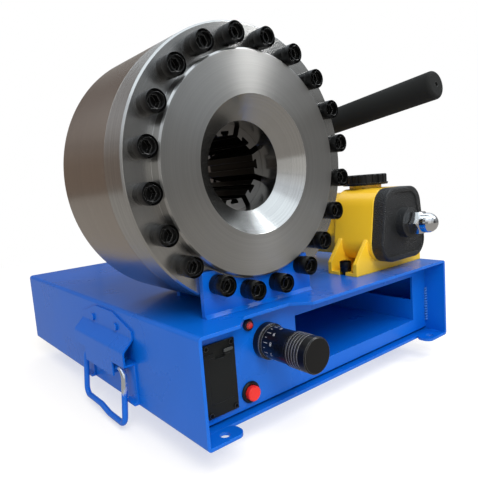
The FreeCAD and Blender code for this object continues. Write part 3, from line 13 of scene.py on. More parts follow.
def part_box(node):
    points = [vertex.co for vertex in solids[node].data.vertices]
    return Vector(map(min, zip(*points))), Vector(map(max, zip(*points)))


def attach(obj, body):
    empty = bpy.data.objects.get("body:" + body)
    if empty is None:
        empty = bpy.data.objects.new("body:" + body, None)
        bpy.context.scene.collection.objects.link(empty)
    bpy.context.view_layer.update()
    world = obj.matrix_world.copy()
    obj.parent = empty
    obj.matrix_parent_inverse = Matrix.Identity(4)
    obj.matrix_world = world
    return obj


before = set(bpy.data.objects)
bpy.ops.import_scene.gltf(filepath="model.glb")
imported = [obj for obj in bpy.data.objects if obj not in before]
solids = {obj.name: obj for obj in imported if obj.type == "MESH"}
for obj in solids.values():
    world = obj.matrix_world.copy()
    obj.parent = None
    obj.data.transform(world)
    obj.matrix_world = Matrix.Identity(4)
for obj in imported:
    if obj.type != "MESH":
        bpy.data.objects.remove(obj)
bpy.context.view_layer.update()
scene = bpy.context.scene

# %% [markdown]
# ## The camera
# The photographer stood to the left of the operator's place, a little above the machine and quite close.
# A close camera makes the near corner loom, so we copy the real distance and not only the direction. The
# camera is described by its three axes, which is the surest way to copy a measured view.

# %% Place the camera
CAMERA_PLACE = Vector((-0.37531, -0.52459, 0.21181))
CAMERA_RIGHT = Vector((0.7753, -0.62693, -0.07662))
CAMERA_DOWN = Vector((-0.13716, -0.04871, -0.98935))
CAMERA_AHEAD = Vector((0.61652, 0.77755, -0.12375))
CAMERA_LENS = 35.73

bpy.ops.object.select_all(action="DESELECT")
bpy.ops.object.camera_add(location=CAMERA_PLACE)
camera = bpy.context.object
camera.name = "camera"
turn = Matrix((CAMERA_RIGHT, -CAMERA_DOWN, -CAMERA_AHEAD)).transposed()
camera.matrix_world = Matrix.Translation(CAMERA_PLACE) @ turn.to_4x4()
camera.data.sensor_width = 36
camera.data.lens = CAMERA_LENS
camera.data.clip_start = 0.01
scene.camera = camera
scene.view_settings.view_transform = "Standard"
print("lens:", round(camera.data.lens, 2), "mm, place:", [round(v, 3) for v in camera.location])

# %% [markdown]
# ## Node helpers
# Every finish below is a small network of shader nodes. The first helper makes a material, and the others
# add nodes and links to it. Sums and mixes take a number as well as another node's socket, so that a
# finish reads like a formula.

# %% Write the node helpers
def plain_shader(name, colour, roughness):
    """A material with one Principled shader, ready for more nodes."""
    material = bpy.data.materials.new(name)
    material.use_nodes = True
    shader = material.node_tree.nodes["Principled BSDF"]
    shader.inputs["Base Color"].default_value = (*colour, 1)
    shader.inputs["Roughness"].default_value = roughness
    return material, shader


def feed(tree, socket, value):
    """Put a number, a colour or a link on a socket."""
    if isinstance(value, bpy.types.NodeSocket):
        tree.links.new(value, socket)
    elif isinstance(value, tuple) and len(value) == 3 and socket.type == "RGBA":
        socket.default_value = (*value, 1)
    else:
        socket.default_value = value


def math_node(tree, operation, first=None, second=None, clamp=False):
    node = tree.nodes.new("ShaderNodeMath")
    node.operation = operation
    node.use_clamp = clamp
    for index, value in enumerate((first, second)):
        if value is not None:
            feed(tree, node.inputs[index], value)
    return node.outputs[0]


def spread(tree, value, low, high, start=0.0, end=1.0):
    """Map a stretch of a value onto a range, and hold it at the ends."""
    node = tree.nodes.new("ShaderNodeMapRange")
    tree.links.new(value, node.inputs["Value"])
    node.inputs["From Min"].default_value = start
    node.inputs["From Max"].default_value = end
    node.inputs["To Min"].default_value = low
    node.inputs["To Max"].default_value = high
    return node.outputs[0]


def blend_colours(tree, factor, first, second):
    """Mix two colours by a mask or a number."""
    node = tree.nodes.new("ShaderNodeMix")
    node.data_type = "RGBA"
    colours = [socket for socket in node.inputs if socket.type == "RGBA"]
    feed(tree, node.inputs[0], factor)
    feed(tree, colours[0], first)
    feed(tree, colours[1], second)
    return [socket for socket in node.outputs if socket.type == "RGBA"][0]


def noise(tree, place, scale, detail=3.0):
    node = tree.nodes.new("ShaderNodeTexNoise")
    node.inputs["Scale"].default_value = scale
    node.inputs["Detail"].default_value = detail
    tree.links.new(place, node.inputs["Vector"])
    return node.outputs["Fac"]


def bump(tree, height, distance, normal=None, strength=0.5):
    node = tree.nodes.new("ShaderNodeBump")
    node.inputs["Strength"].default_value = strength
    node.inputs["Distance"].default_value = distance
    tree.links.new(height, node.inputs["Height"])
    if normal is not None:
        tree.links.new(normal, node.inputs["Normal"])
    return node.outputs[0]


def object_place(tree, centre=(0.0, 0.0, 0.0), stretch=(1.0, 1.0, 1.0)):
    """Object coordinates, measured from a centre and stretched."""
    place = tree.nodes.new("ShaderNodeTexCoord")
    mapping = tree.nodes.new("ShaderNodeMapping")
    mapping.inputs["Location"].default_value = tuple(-c * s for c, s in zip(centre, stretch))
    mapping.inputs["Scale"].default_value = stretch
    tree.links.new(place.outputs["Object"], mapping.inputs["Vector"])
    return mapping.outputs[0]


def split(tree, vector):
    node = tree.nodes.new("ShaderNodeSeparateXYZ")
    tree.links.new(vector, node.inputs[0])
    return node.outputs


def length_of(tree, vector):
    node = tree.nodes.new("ShaderNodeVectorMath")
    node.operation = "LENGTH"
    tree.links.new(vector, node.inputs[0])
    return node.outputs["Value"]


# %% [markdown]
# ## The studio floor
# The machine stands on a pale table top. Its carry handles hang below its underside, as at the edge of a
# bench, so a low riser lifts the base clear of the floor. Close to the machine the floor is matt paint
# that takes its shadow, and further out it fades into plain white, so that no horizon shows.

# %% Build the floor and the riser
RISER_HEIGHT = 0.026
RISER_SIZE = (0.24, 0.30)
# The riser touches neither the base above it nor the floor below it.
RISER_GAP = 0.0003
FLOOR_GAP = 0.0005
FLOOR_LEVEL = -RISER_HEIGHT - FLOOR_GAP
FLOOR_SIZE = 12
# Distances from the machine's middle between which the paint turns into plain white.
FADE_FROM = 0.45
FADE_TO = 1.3
STAGE_SHADE = 0.50
STAGE_WARMTH = (1.0, 0.96, 0.88)
FLECK_SCALE = 60.0
FLECK_SHARE = 0.02
FLOOR_GLOW = 0.56
RISER_GLOW = 0.62


def start():
    """Clear the selection, so that a step acts on its own piece only."""
    bpy.ops.object.select_all(action="DESELECT")


def apply_place():
    """Put a piece's place, turn and scale into its mesh."""
    bpy.ops.object.transform_apply(location=True, rotation=True, scale=True)


def pale_stage(name, shade, glow):
    """Matt pale paint with a little glow of its own, which turns plain white far from the machine."""
    tone = Vector([shade * part for part in STAGE_WARMTH])
    material, shader = plain_shader(name, tuple(tone), 0.8)
    tree = material.node_tree
    place = object_place(tree)
    flecks = noise(tree, place, FLECK_SCALE)
    feed(tree, shader.inputs["Base Color"],
         blend_colours(tree, flecks, tuple(tone * (1 - FLECK_SHARE)), tuple(tone * (1 + FLECK_SHARE))))
    shader.inputs["Specular IOR Level"].default_value = 0.1
    shader.inputs["Emission Color"].default_value = (1, 1, 1, 1)
    shader.inputs["Emission Strength"].default_value = glow
    white = tree.nodes.new("ShaderNodeEmission")
    mix = tree.nodes.new("ShaderNodeMixShader")
    feed(tree, mix.inputs["Fac"], spread(tree, length_of(tree, place), 0.0, 1.0, FADE_FROM, FADE_TO))
    tree.links.new(shader.outputs[0], mix.inputs[1])
    tree.links.new(white.outputs[0], mix.inputs[2])
    tree.links.new(mix.outputs[0], tree.nodes["Material Output"].inputs["Surface"])
    return material


def stage_plane(name, size, level, material):
    """A level square of the stage, with its height in its mesh."""
    start()
    bpy.ops.mesh.primitive_plane_add(size=size, location=(0, 0, level))
    plane = bpy.context.object
    plane.name = name
    apply_place()
    plane.data.materials.append(material)
    return plane


floor_paint = pale_stage("floor_paint", STAGE_SHADE, FLOOR_GLOW)
riser_paint = pale_stage("riser_paint", STAGE_SHADE, RISER_GLOW)
floor = stage_plane("floor", FLOOR_SIZE, FLOOR_LEVEL, floor_paint)
start()
bpy.ops.mesh.primitive_cube_add(size=1, location=(0, 0, -RISER_HEIGHT / 2 - RISER_GAP))
riser = bpy.context.object
riser.name = "riser"
riser.scale = (*RISER_SIZE, RISER_HEIGHT)
apply_place()
riser.data.materials.append(riser_paint)
print("floor at:", round(FLOOR_LEVEL, 4), "riser:", RISER_HEIGHT)

# %% [markdown]
# ## The light
# One broad soft lamp on the operator's left lights the paint, and one behind draws the top edges. A narrow
# one high on the right makes the fan on the turned disc, because it stands where the disc's upper half
# mirrors it. Both broad lamps are hidden from mirrors, where the screens further down take their place.
# The world is a plain pale room. The camera and the mirrors see it white, while the light it gives to
# painted things stays calm.

# %% Hang the lamps and paint the room
ROOM_LIGHT = 0.62
ROOM_SEEN = 1.0


def soft_lamp(name, place, aim, size, power):
    """A rectangular lamp at a place, pointed at another."""
    start()
    bpy.ops.object.light_add(type="AREA", location=place)
    lamp = bpy.context.object
    lamp.name = name
    lamp.data.shape = "RECTANGLE"
    lamp.data.size = size[0]
    lamp.data.size_y = size[1]
    lamp.data.energy = power
    direction = Vector(aim) - Vector(place)
    lamp.rotation_euler = direction.to_track_quat("-Z", "Y").to_euler()
    return lamp


key_lamp = soft_lamp("key_lamp", (-0.55, -1.35, 1.5), (0, 0, 0.15), (1.1, 1.1), 27)
soft_lamp("fan_lamp", (1.15, -1.2, 1.55), (0, -0.1, 0.2), (0.35, 0.9), 12)
rear_lamp = soft_lamp("rear_lamp", (0.3, 1.5, 1.6), (0, 0, 0.2), (1.6, 0.8), 8)
key_lamp.visible_glossy = False
rear_lamp.visible_glossy = False

world = bpy.data.worlds.new("pale_room")
scene.world = world
world.use_nodes = True
room = world.node_tree
room.nodes.clear()
room_out = room.nodes.new("ShaderNodeOutputWorld")
room_light = room.nodes.new("ShaderNodeBackground")
room_seen = room.nodes.new("ShaderNodeBackground")
room_mix = room.nodes.new("ShaderNodeMixShader")
room_path = room.nodes.new("ShaderNodeLightPath")
for background, strength in ((room_light, ROOM_LIGHT), (room_seen, ROOM_SEEN)):
    background.inputs["Color"].default_value = (1, 1, 1, 1)
    background.inputs["Strength"].default_value = strength
seen_directly = math_node(room, "MAXIMUM", room_path.outputs["Is Camera Ray"],
                          room_path.outputs["Is Glossy Ray"])
seen_at_all = math_node(room, "MAXIMUM", seen_directly, room_path.outputs["Is Transmission Ray"])
feed(room, room_mix.inputs["Fac"], seen_at_all)
room.links.new(room_light.outputs[0], room_mix.inputs[1])
room.links.new(room_seen.outputs[0], room_mix.inputs[2])
room.links.new(room_mix.outputs[0], room_out.inputs["Surface"])

# %% [markdown]
# ## What the steel mirrors
# Polished steel has hardly any colour of its own: it shows the room. In an all white room it would look
# like card, so a wide round screen of cloth stands about the machine, with a cloth on the floor and a
# bright ceiling. The screen's shade changes on the way round, dark where a face should look dark, and most
# of it grows lighter with height. Only mirrors see all this, so it takes no light away from the paint.

# %% Stand the screens
SCREEN_RADIUS = 2.3
SCREEN_TOP = 2.4
SKY = (0.95, 1.02, 1.10)
SKY_FROM = 0.55
SKY_TO = 1.6
SEAM_SHADE = (0.05, 0.045, 0.04)
SEAMS_ROUND = 25
SEAMS_PER_METRE = 1.25
# The seams' widths, as shares of the cloth between two of them.
UPRIGHT_SEAM = 0.07
LEVEL_SEAM = 0.05
FLOOR_CLOTH_SHADE = (0.385, 0.365, 0.34)
FLOOR_CLOTH_GAP = 0.0004
CEILING_SHADE = (1.6, 1.76, 1.9)
CLOTH_CLOUD_SCALE = 1.5
CLOUD_DARKNESS = 0.85
# Each stop: degrees from the machine's right over its rear, the cloth's shade, and how far it turns into
# pale sky higher up.
SCREEN_SHADES = (
    (-180, (0.20, 0.19, 0.18), 1), (-135, (0.50, 0.50, 0.50), 1), (-115, (0.95, 0.93, 0.88), 1),
    (-92, (0.34, 0.34, 0.34), 1), (-78, (0.06, 0.06, 0.06), 0.7), (-66, (0.07, 0.07, 0.07), 0.6),
    (-56, (0.24, 0.24, 0.235), 0.6), (-46, (0.24, 0.24, 0.235), 0.8), (-36, (0.15, 0.15, 0.15), 0.9),
    (0, (0.24, 0.24, 0.25), 1), (30, (0.30, 0.30, 0.31), 0.6), (62, (0.26, 0.24, 0.22), 0.0),
    (94, (0.17, 0.13, 0.11), 0), (118, (0.25, 0.20, 0.165), 0.3), (150, (0.12, 0.09, 0.075), 1.0))


def mirrored_only(thing):
    """Hide a stage piece from everything but mirrors."""
    thing.visible_camera = False
    thing.visible_shadow = False
    thing.visible_diffuse = False
    thing.visible_transmission = False


def glowing_cloth(name):
    """A material that only glows, with its colour still to be fed."""
    material = bpy.data.materials.new(name)
    material.use_nodes = True
    tree = material.node_tree
    tree.nodes.clear()
    out = tree.nodes.new("ShaderNodeOutputMaterial")
    glow = tree.nodes.new("ShaderNodeEmission")
    tree.links.new(glow.outputs[0], out.inputs["Surface"])
    return material, tree, glow


def screen_cloth():
    """The round screen's shades, its sky and the dark seams between its lengths of cloth."""
    material, tree, glow = glowing_cloth("screen_cloth")
    parts = split(tree, object_place(tree))
    direction = math_node(tree, "ARCTAN2", parts["Y"], parts["X"])
    ramp = tree.nodes.new("ShaderNodeValToRGB")
    feed(tree, ramp.inputs["Fac"], spread(tree, direction, 0.0, 1.0, -math.pi, math.pi))
    stops = ramp.color_ramp.elements
    stops.remove(stops[1])
    for index, (degrees, shade, lift) in enumerate(SCREEN_SHADES):
        place = (degrees + 180) / 360
        stop = stops[0] if index == 0 else stops.new(place)
        stop.position = place
        stop.color = (*shade, lift)
    height = spread(tree, parts["Z"], 0.0, 1.0, SKY_FROM, SKY_TO)
    sky = math_node(tree, "MULTIPLY", height, ramp.outputs["Alpha"])
    cloth = blend_colours(tree, sky, ramp.outputs["Color"], SKY)
    upright = math_node(tree, "FRACT", math_node(tree, "MULTIPLY", direction, SEAMS_ROUND / (2 * math.pi)))
    level = math_node(tree, "FRACT", math_node(tree, "MULTIPLY", parts["Z"], SEAMS_PER_METRE))
    off_seam = math_node(tree, "MINIMUM", spread(tree, upright, 0.0, 1.0, 0.0, UPRIGHT_SEAM),
                         spread(tree, level, 0.0, 1.0, 0.0, LEVEL_SEAM))
    feed(tree, glow.inputs["Color"], blend_colours(tree, off_seam, SEAM_SHADE, cloth))
    return material


def cloudy_cloth(name, shade):
    """Cloth of one shade with soft darker clouds."""
    material, tree, glow = glowing_cloth(name)
    cloud = noise(tree, object_place(tree), CLOTH_CLOUD_SCALE)
    darker = tuple(CLOUD_DARKNESS * channel for channel in shade)
    feed(tree, glow.inputs["Color"], blend_colours(tree, cloud, darker, shade))
    return material


start()
bpy.ops.mesh.primitive_cylinder_add(vertices=96, radius=SCREEN_RADIUS, depth=SCREEN_TOP - FLOOR_LEVEL,
                                    end_fill_type="NOTHING",
                                    location=(0, 0, (SCREEN_TOP + FLOOR_LEVEL) / 2))
round_screen = bpy.context.object
round_screen.name = "round_screen"
apply_place()
round_screen.data.materials.append(screen_cloth())
mirrored_only(round_screen)
for name, level, shade in (("floor_cloth", FLOOR_LEVEL + FLOOR_CLOTH_GAP, FLOOR_CLOTH_SHADE),
                           ("ceiling", SCREEN_TOP, CEILING_SHADE)):
    cloth = cloudy_cloth(name + "_shade", shade)
    mirrored_only(stage_plane(name, 2 * SCREEN_RADIUS, level, cloth))
print("screen shades:", len(SCREEN_SHADES), "radius:", SCREEN_RADIUS)

# %% [markdown]
# ## Shared effects
# Several finishes need the same tricks, so each is built once as a node group. The first rounds the
# drawn-sharp edges in the shading only and hands back a mask of those edges, where the finishes lighten
# their colour: partly the wear that real handling leaves, partly a painted highlight for the light a
# rounded edge catches. The second is fine grain together with broad clouds, as in powder coat, casting skin
# or moulded plastic. The third lays thin scratches over a surface in two directions.

# %% Build the shared node groups
EDGE_RADIUS = 0.0006
EDGE_SHARPNESS = 6.0
EDGE_SAMPLES = 6
GRAIN_SCALE = 400.0
CLOUD_SCALE = 14.0
SCRATCH_STRETCHES = ((40.0, 40.0, 900.0), (700.0, 60.0, 60.0))
# The part of the noise that counts as a scratch.
SCRATCH_FROM = 0.72
SCRATCH_TO = 0.80


def new_group(name, inputs, outputs):
    """An empty node group with named sockets."""
    group = bpy.data.node_groups.new(name, "ShaderNodeTree")
    for socket, value in inputs:
        made = group.interface.new_socket(name=socket, in_out="INPUT", socket_type="NodeSocketFloat")
        made.default_value = value
    for socket, kind in outputs:
        group.interface.new_socket(name=socket, in_out="OUTPUT", socket_type=kind)
    entry = group.nodes.new("NodeGroupInput")
    leave = group.nodes.new("NodeGroupOutput")
    return group, entry, leave


edge_group, edge_in, edge_out = new_group(
    "rounded_edge", [("Radius", EDGE_RADIUS), ("Sharpness", EDGE_SHARPNESS)],
    [("Normal", "NodeSocketVector"), ("Edge", "NodeSocketFloat")])
edge_bevel = edge_group.nodes.new("ShaderNodeBevel")
edge_bevel.samples = EDGE_SAMPLES
edge_geometry = edge_group.nodes.new("ShaderNodeNewGeometry")
edge_dot = edge_group.nodes.new("ShaderNodeVectorMath")
edge_dot.operation = "DOT_PRODUCT"
edge_group.links.new(edge_in.outputs["Radius"], edge_bevel.inputs["Radius"])
edge_group.links.new(edge_bevel.outputs[0], edge_dot.inputs[0])
edge_group.links.new(edge_geometry.outputs["Normal"], edge_dot.inputs[1])
edge_bent = math_node(edge_group, "SUBTRACT", 1.0, edge_dot.outputs["Value"])
edge_mask = math_node(edge_group, "MULTIPLY", edge_bent, edge_in.outputs["Sharpness"], clamp=True)
edge_group.links.new(edge_bevel.outputs[0], edge_out.inputs["Normal"])
edge_group.links.new(edge_mask, edge_out.inputs["Edge"])

grain_group, grain_in, grain_out = new_group(
    "grain_and_clouds", [("Fine", GRAIN_SCALE), ("Broad", CLOUD_SCALE)],
    [("Grain", "NodeSocketFloat"), ("Clouds", "NodeSocketFloat")])
grain_place = object_place(grain_group)
for scale_name, detail, out_name in (("Fine", 3.0, "Grain"), ("Broad", 4.0, "Clouds")):
    grain_noise = grain_group.nodes.new("ShaderNodeTexNoise")
    grain_noise.inputs["Detail"].default_value = detail
    grain_group.links.new(grain_place, grain_noise.inputs["Vector"])
    grain_group.links.new(grain_in.outputs[scale_name], grain_noise.inputs["Scale"])
    grain_group.links.new(grain_noise.outputs["Fac"], grain_out.inputs[out_name])

scratch_group, scratch_in, scratch_out = new_group(
    "thin_scratches", [("Amount", 0.5)], [("Scratches", "NodeSocketFloat")])
scratch_marks = []
for stretch in SCRATCH_STRETCHES:
    streaks = noise(scratch_group, object_place(scratch_group, stretch=stretch), 1.0, 2.0)
    scratch_marks.append(spread(scratch_group, streaks, 0.0, 1.0, SCRATCH_FROM, SCRATCH_TO))
scratch_any = math_node(scratch_group, "MAXIMUM", scratch_marks[0], scratch_marks[1])
scratch_group.links.new(math_node(scratch_group, "MULTIPLY", scratch_any, scratch_in.outputs["Amount"]),
                        scratch_out.inputs["Scratches"])
print("shared groups:", len(bpy.data.node_groups))

# %% [markdown]
# ## Finishes
# Each finish starts from the Principled shader and is then varied: its colour drifts a little over the
# surface, its roughness is never quite even, and a faint bump breaks up the highlights. Numbers that are
# the same all over stay on the shader itself.

# %% Describe a finish
# A clouded surface runs from this share of its roughness to that one.
SMOOTHEST = 0.75
ROUGHEST = 1.3
SWELL_SCALE = 38.0


def group_node(tree, group, **values):
    node = tree.nodes.new("ShaderNodeGroup")
    node.node_tree = group
    for name, value in values.items():
        node.inputs[name].default_value = value
    return node


def finish(name, colour, wear_and_glint, roughness, metallic=0.0, edge_radius=EDGE_RADIUS, wear_and_glint_share=0.0, grain=GRAIN_SCALE,
           depth=0.00002, drift=0.06, coat=0.0, coat_roughness=0.05, scratches=0.0, gloss=0.5,
           ripple=0.0):
    """A paint, plastic or metal finish with drifting colour, uneven gloss, grain, and rounded edges
    lightened partly as wear and partly as a painted highlight.
    """
    material, shader = plain_shader(name, colour, roughness)
    tree = material.node_tree
    edge = group_node(tree, edge_group, Radius=edge_radius, Sharpness=EDGE_SHARPNESS)
    skin = group_node(tree, grain_group, Fine=grain, Broad=CLOUD_SCALE)
    darker = tuple(channel * (1 - drift * 2) for channel in colour)
    lighter = tuple(min(1.0, channel * (1 + drift)) for channel in colour)
    body = blend_colours(tree, skin.outputs["Clouds"], darker, lighter)
    # Along the edges the colour goes towards the lighter one: partly real wear, partly a painted highlight
    # for the light a rounded edge catches.
    wear_glint_scratch_mask = math_node(tree, "MULTIPLY", edge.outputs["Edge"], wear_and_glint_share)
    if scratches:
        marks = group_node(tree, scratch_group, Amount=scratches)
        wear_glint_scratch_mask = math_node(tree, "MAXIMUM", wear_glint_scratch_mask, marks.outputs["Scratches"])
    feed(tree, shader.inputs["Base Color"], blend_colours(tree, wear_glint_scratch_mask, body, wear_and_glint))
    feed(tree, shader.inputs["Roughness"],
         spread(tree, skin.outputs["Clouds"], roughness * SMOOTHEST, roughness * ROUGHEST))
    normal = bump(tree, skin.outputs["Grain"], depth, edge.outputs["Normal"])
    if ripple:
        # Sprayed sheet is never quite flat, and its reflections sway a little.
        swell = group_node(tree, grain_group, Fine=SWELL_SCALE, Broad=CLOUD_SCALE)
        normal = bump(tree, swell.outputs["Grain"], ripple, normal, strength=0.35)
    feed(tree, shader.inputs["Normal"], normal)
    shader.inputs["Metallic"].default_value = metallic
    shader.inputs["Specular IOR Level"].default_value = gloss
    shader.inputs["Coat Weight"].default_value = coat
    shader.inputs["Coat Roughness"].default_value = coat_roughness
    return material


# %% Mix the plain finishes
blue_paint = finish("blue_paint", (0.0010, 0.119, 0.58), (0.03, 0.25, 0.86), 0.28, wear_and_glint_share=0.35, grain=260,
                    depth=0.00003, coat=0.12, coat_roughness=0.04, ripple=0.00035, gloss=0.3)
yellow_paint = finish("yellow_paint", (0.99, 0.60, 0.026), (1.0, 0.76, 0.12), 0.32, wear_and_glint_share=0.3, grain=170,
                      depth=0.00006, edge_radius=0.0014, coat=0.2, coat_roughness=0.10, ripple=0.0003)
black_oxide = finish("black_oxide", (0.003, 0.003, 0.003), (0.22, 0.22, 0.215), 0.22, wear_and_glint_share=0.4, grain=900,
                     depth=0.00001, gloss=0.35)
black_plastic = finish("black_plastic", (0.005, 0.005, 0.0055), (0.04, 0.04, 0.04), 0.36, wear_and_glint_share=0.4,
                       grain=900, gloss=0.4)
battery_plastic = finish("battery_plastic", (0.006, 0.0075, 0.0075), (0.06, 0.06, 0.06), 0.45, wear_and_glint_share=0.5,
                         grain=1000, edge_radius=0.0004, gloss=0.35)
foam_rubber = finish("foam_rubber", (0.011, 0.0115, 0.011), (0.10, 0.105, 0.105), 0.9, wear_and_glint_share=0.6, grain=800,
                     depth=0.0004, edge_radius=0.001, gloss=0.25)
black_anodised = finish("black_anodised", (0.0035, 0.0035, 0.004), (0.35, 0.35, 0.35), 0.30, wear_and_glint_share=0.9,
                        grain=1200, depth=0.00001, edge_radius=0.0003, gloss=0.35)
chrome = finish("chrome", (0.78, 0.79, 0.80), (0.9, 0.9, 0.9), 0.06, metallic=1.0, grain=300,
                depth=0.000004)
bright_steel = finish("bright_steel", (0.50, 0.49, 0.47), (0.7, 0.7, 0.7), 0.28, metallic=1.0, wear_and_glint_share=0.5,
                      scratches=0.3)
red_plastic = finish("red_plastic", (0.78, 0.022, 0.016), (0.9, 0.14, 0.10), 0.45, grain=800,
                     depth=0.00001, gloss=0.35)
# The lens's facet edges turn pale pink: a painted highlight.
red_lens = finish("red_lens", (0.50, 0.012, 0.010), (0.95, 0.35, 0.25), 0.10, grain=500, depth=0.00001,
                  coat=0.8, wear_and_glint_share=0.6)
piston_steel = finish("piston_steel", (0.22, 0.21, 0.20), (0.6, 0.6, 0.6), 0.30, metallic=1.0, wear_and_glint_share=0.4,
                      scratches=0.2)
scale_white = finish("scale_white", (0.75, 0.75, 0.74), (0.8, 0.8, 0.8), 0.5, grain=1500, drift=0.1)
dark_zinc = finish("dark_zinc", (0.07, 0.07, 0.07), (0.4, 0.4, 0.4), 0.3, metallic=1.0, wear_and_glint_share=0.8, grain=900,
                   edge_radius=0.0003)
rib_black = finish("rib_black", (0.003, 0.003, 0.003), (0.03, 0.03, 0.03), 0.3, wear_and_glint_share=0.3, grain=900,
                   depth=0.00001, edge_radius=0.0002, gloss=0.32)
print("materials so far:", len(bpy.data.materials))

# %% [markdown]
# ## Pebbled rubber
# The cap on the oil tank is moulded rubber with a leathery pebble. Cells of a Voronoi pattern make the
# pebbles, and their height is added to the bump of the fine grain.

# %% Mix the pebbled rubber
PEBBLES_PER_METRE = 900.0
PEBBLE_HEIGHT = 0.0010
PEBBLE_STRENGTH = 0.9

black_rubber = finish("black_rubber", (0.011, 0.012, 0.013), (0.05, 0.05, 0.05), 0.42, wear_and_glint_share=0.25, grain=1500,
                      depth=0.00004, edge_radius=0.0018)
rubber_tree = black_rubber.node_tree
rubber_shader = rubber_tree.nodes["Principled BSDF"]
pebbles = rubber_tree.nodes.new("ShaderNodeTexVoronoi")
pebbles.inputs["Scale"].default_value = PEBBLES_PER_METRE
rubber_tree.links.new(object_place(rubber_tree), pebbles.inputs["Vector"])
fine_grain = rubber_shader.inputs["Normal"].links[0].from_socket
feed(rubber_tree, rubber_shader.inputs["Normal"],
     bump(rubber_tree, pebbles.outputs["Distance"], PEBBLE_HEIGHT, fine_grain, PEBBLE_STRENGTH))
print("rubber nodes:", len(rubber_tree.nodes))

# %% [markdown]
# ## Turned steel
# A lathe leaves fine rings round the axis of the head, and light stretches across them into the fans
# that everybody knows from the lid of a pan. We draw the rings from the distance to the axis and give the
# shader anisotropy with a tangent that runs across the rings. The raised disc is turned more coarsely than
# the flange behind it and the cone inside it, so the roughness depends on the radius.

# %% Turn the steel of the head
HEAD_AXIS = (-0.085, 0.225)
DISC_RADIUS = 0.1025
CONE_RADIUS = 0.0632
CONE_ROUGHNESS = 0.17
DISC_ROUGHNESS = 0.32
FLANGE_ROUGHNESS = 0.24
BARREL_ROUGHNESS = 0.23
# Half the width of the step from one roughness to the next.
STEP_BLUR = 0.0002
SCRATCH_SHADE = (0.65, 0.65, 0.65)
# The turned edges are lightened towards this pale grey: partly wear, partly a painted highlight for the
# light those edges catch.
EDGE_WEAR_AND_GLINT = (0.85, 0.85, 0.85)
EDGE_WEAR_AND_GLINT_SHARE = 0.6
RING_HEIGHT = 0.00002
# Clouds make the roughness vary by these factors.
LEAST_ROUGH = 0.8
MOST_ROUGH = 1.25
# A little of the tangent runs along the axis, which is all that counts on the barrel's round side.
AXIAL_SHARE = 0.02


def turned_steel(name, colour, ring_scale, anisotropy, roughness_at, streak=0.12, scratches=0.15):
    """Steel turned round the head's axis; roughness_at lists radius and roughness, outwards."""
    material, shader = plain_shader(name, colour, 0.3)
    tree = material.node_tree
    shader.inputs["Metallic"].default_value = 1.0
    shader.inputs["Anisotropic"].default_value = anisotropy
    parts = split(tree, object_place(tree, centre=(HEAD_AXIS[0], 0, HEAD_AXIS[1])))
    across = math_node(tree, "MULTIPLY", parts["X"], parts["X"])
    up = math_node(tree, "MULTIPLY", parts["Z"], parts["Z"])
    radius = math_node(tree, "SQRT", math_node(tree, "ADD", across, up))
    rings_at = tree.nodes.new("ShaderNodeCombineXYZ")
    tree.links.new(radius, rings_at.inputs["X"])
    tree.links.new(parts["Y"], rings_at.inputs["Y"])
    rings = noise(tree, rings_at.outputs[0], ring_scale, 5.0)
    skin = group_node(tree, grain_group, Fine=300.0, Broad=9.0)
    edge = group_node(tree, edge_group, Radius=EDGE_RADIUS, Sharpness=5.0)
    marks = group_node(tree, scratch_group, Amount=scratches)
    shade = blend_colours(tree, rings, tuple(c * (1 - 2 * streak) for c in colour),
                          tuple(min(1.0, c * (1 + streak)) for c in colour))
    shade = blend_colours(tree, marks.outputs["Scratches"], shade, SCRATCH_SHADE)
    # Painted highlight and wear along the turned edges.
    wear_and_glint = math_node(tree, "MULTIPLY", edge.outputs["Edge"], EDGE_WEAR_AND_GLINT_SHARE)
    shade = blend_colours(tree, wear_and_glint, shade, EDGE_WEAR_AND_GLINT)
    feed(tree, shader.inputs["Base Color"], shade)
    steps = roughness_at[0][1]
    for step_at, value in roughness_at[1:]:
        past = spread(tree, radius, 0.0, 1.0, step_at - STEP_BLUR, step_at + STEP_BLUR)
        node = tree.nodes.new("ShaderNodeMix")
        node.data_type = "FLOAT"
        feed(tree, node.inputs[0], past)
        feed(tree, node.inputs[2], steps)
        feed(tree, node.inputs[3], value)
        steps = node.outputs[0]
    uneven = spread(tree, skin.outputs["Clouds"], LEAST_ROUGH, MOST_ROUGH)
    feed(tree, shader.inputs["Roughness"], math_node(tree, "MULTIPLY", steps, uneven))
    feed(tree, shader.inputs["Normal"], bump(tree, rings, RING_HEIGHT, edge.outputs["Normal"], 0.4))
    # Light spreads across the rings: along the spoke on a flat face, along the axis on a round one.
    across_rings = tree.nodes.new("ShaderNodeCombineXYZ")
    tree.links.new(parts["X"], across_rings.inputs["X"])
    across_rings.inputs["Y"].default_value = AXIAL_SHARE
    tree.links.new(parts["Z"], across_rings.inputs["Z"])
    tree.links.new(across_rings.outputs[0], shader.inputs["Tangent"])
    return material


ring_steel = turned_steel("ring_steel", (0.52, 0.515, 0.50), 900, 0.8,
                          [(0.0, CONE_ROUGHNESS), (CONE_RADIUS, DISC_ROUGHNESS),
                           (DISC_RADIUS, FLANGE_ROUGHNESS)])
barrel_steel = turned_steel("barrel_steel", (0.48, 0.43, 0.385), 500, 0.3, [(0.0, BARREL_ROUGHNESS)])
print("materials:", len(bpy.data.materials))

# %% [markdown]
# ## Die steel
# The eight dies are hardened steel, dark from quenching in oil, with edges lightened partly as wear and
# partly as a painted highlight. The surface's own
# direction tells us the rest: a face that looks straight at the operator was on the grinder and is light,
# and the faces that hang down are painted darker still, a painted shade for the little light that reaches
# under them.

# %% Mix the die steel
GROUND_SHADE = (0.26, 0.25, 0.24)
PAINTED_UNDERSIDE_SHADE = (0.010, 0.009, 0.008)
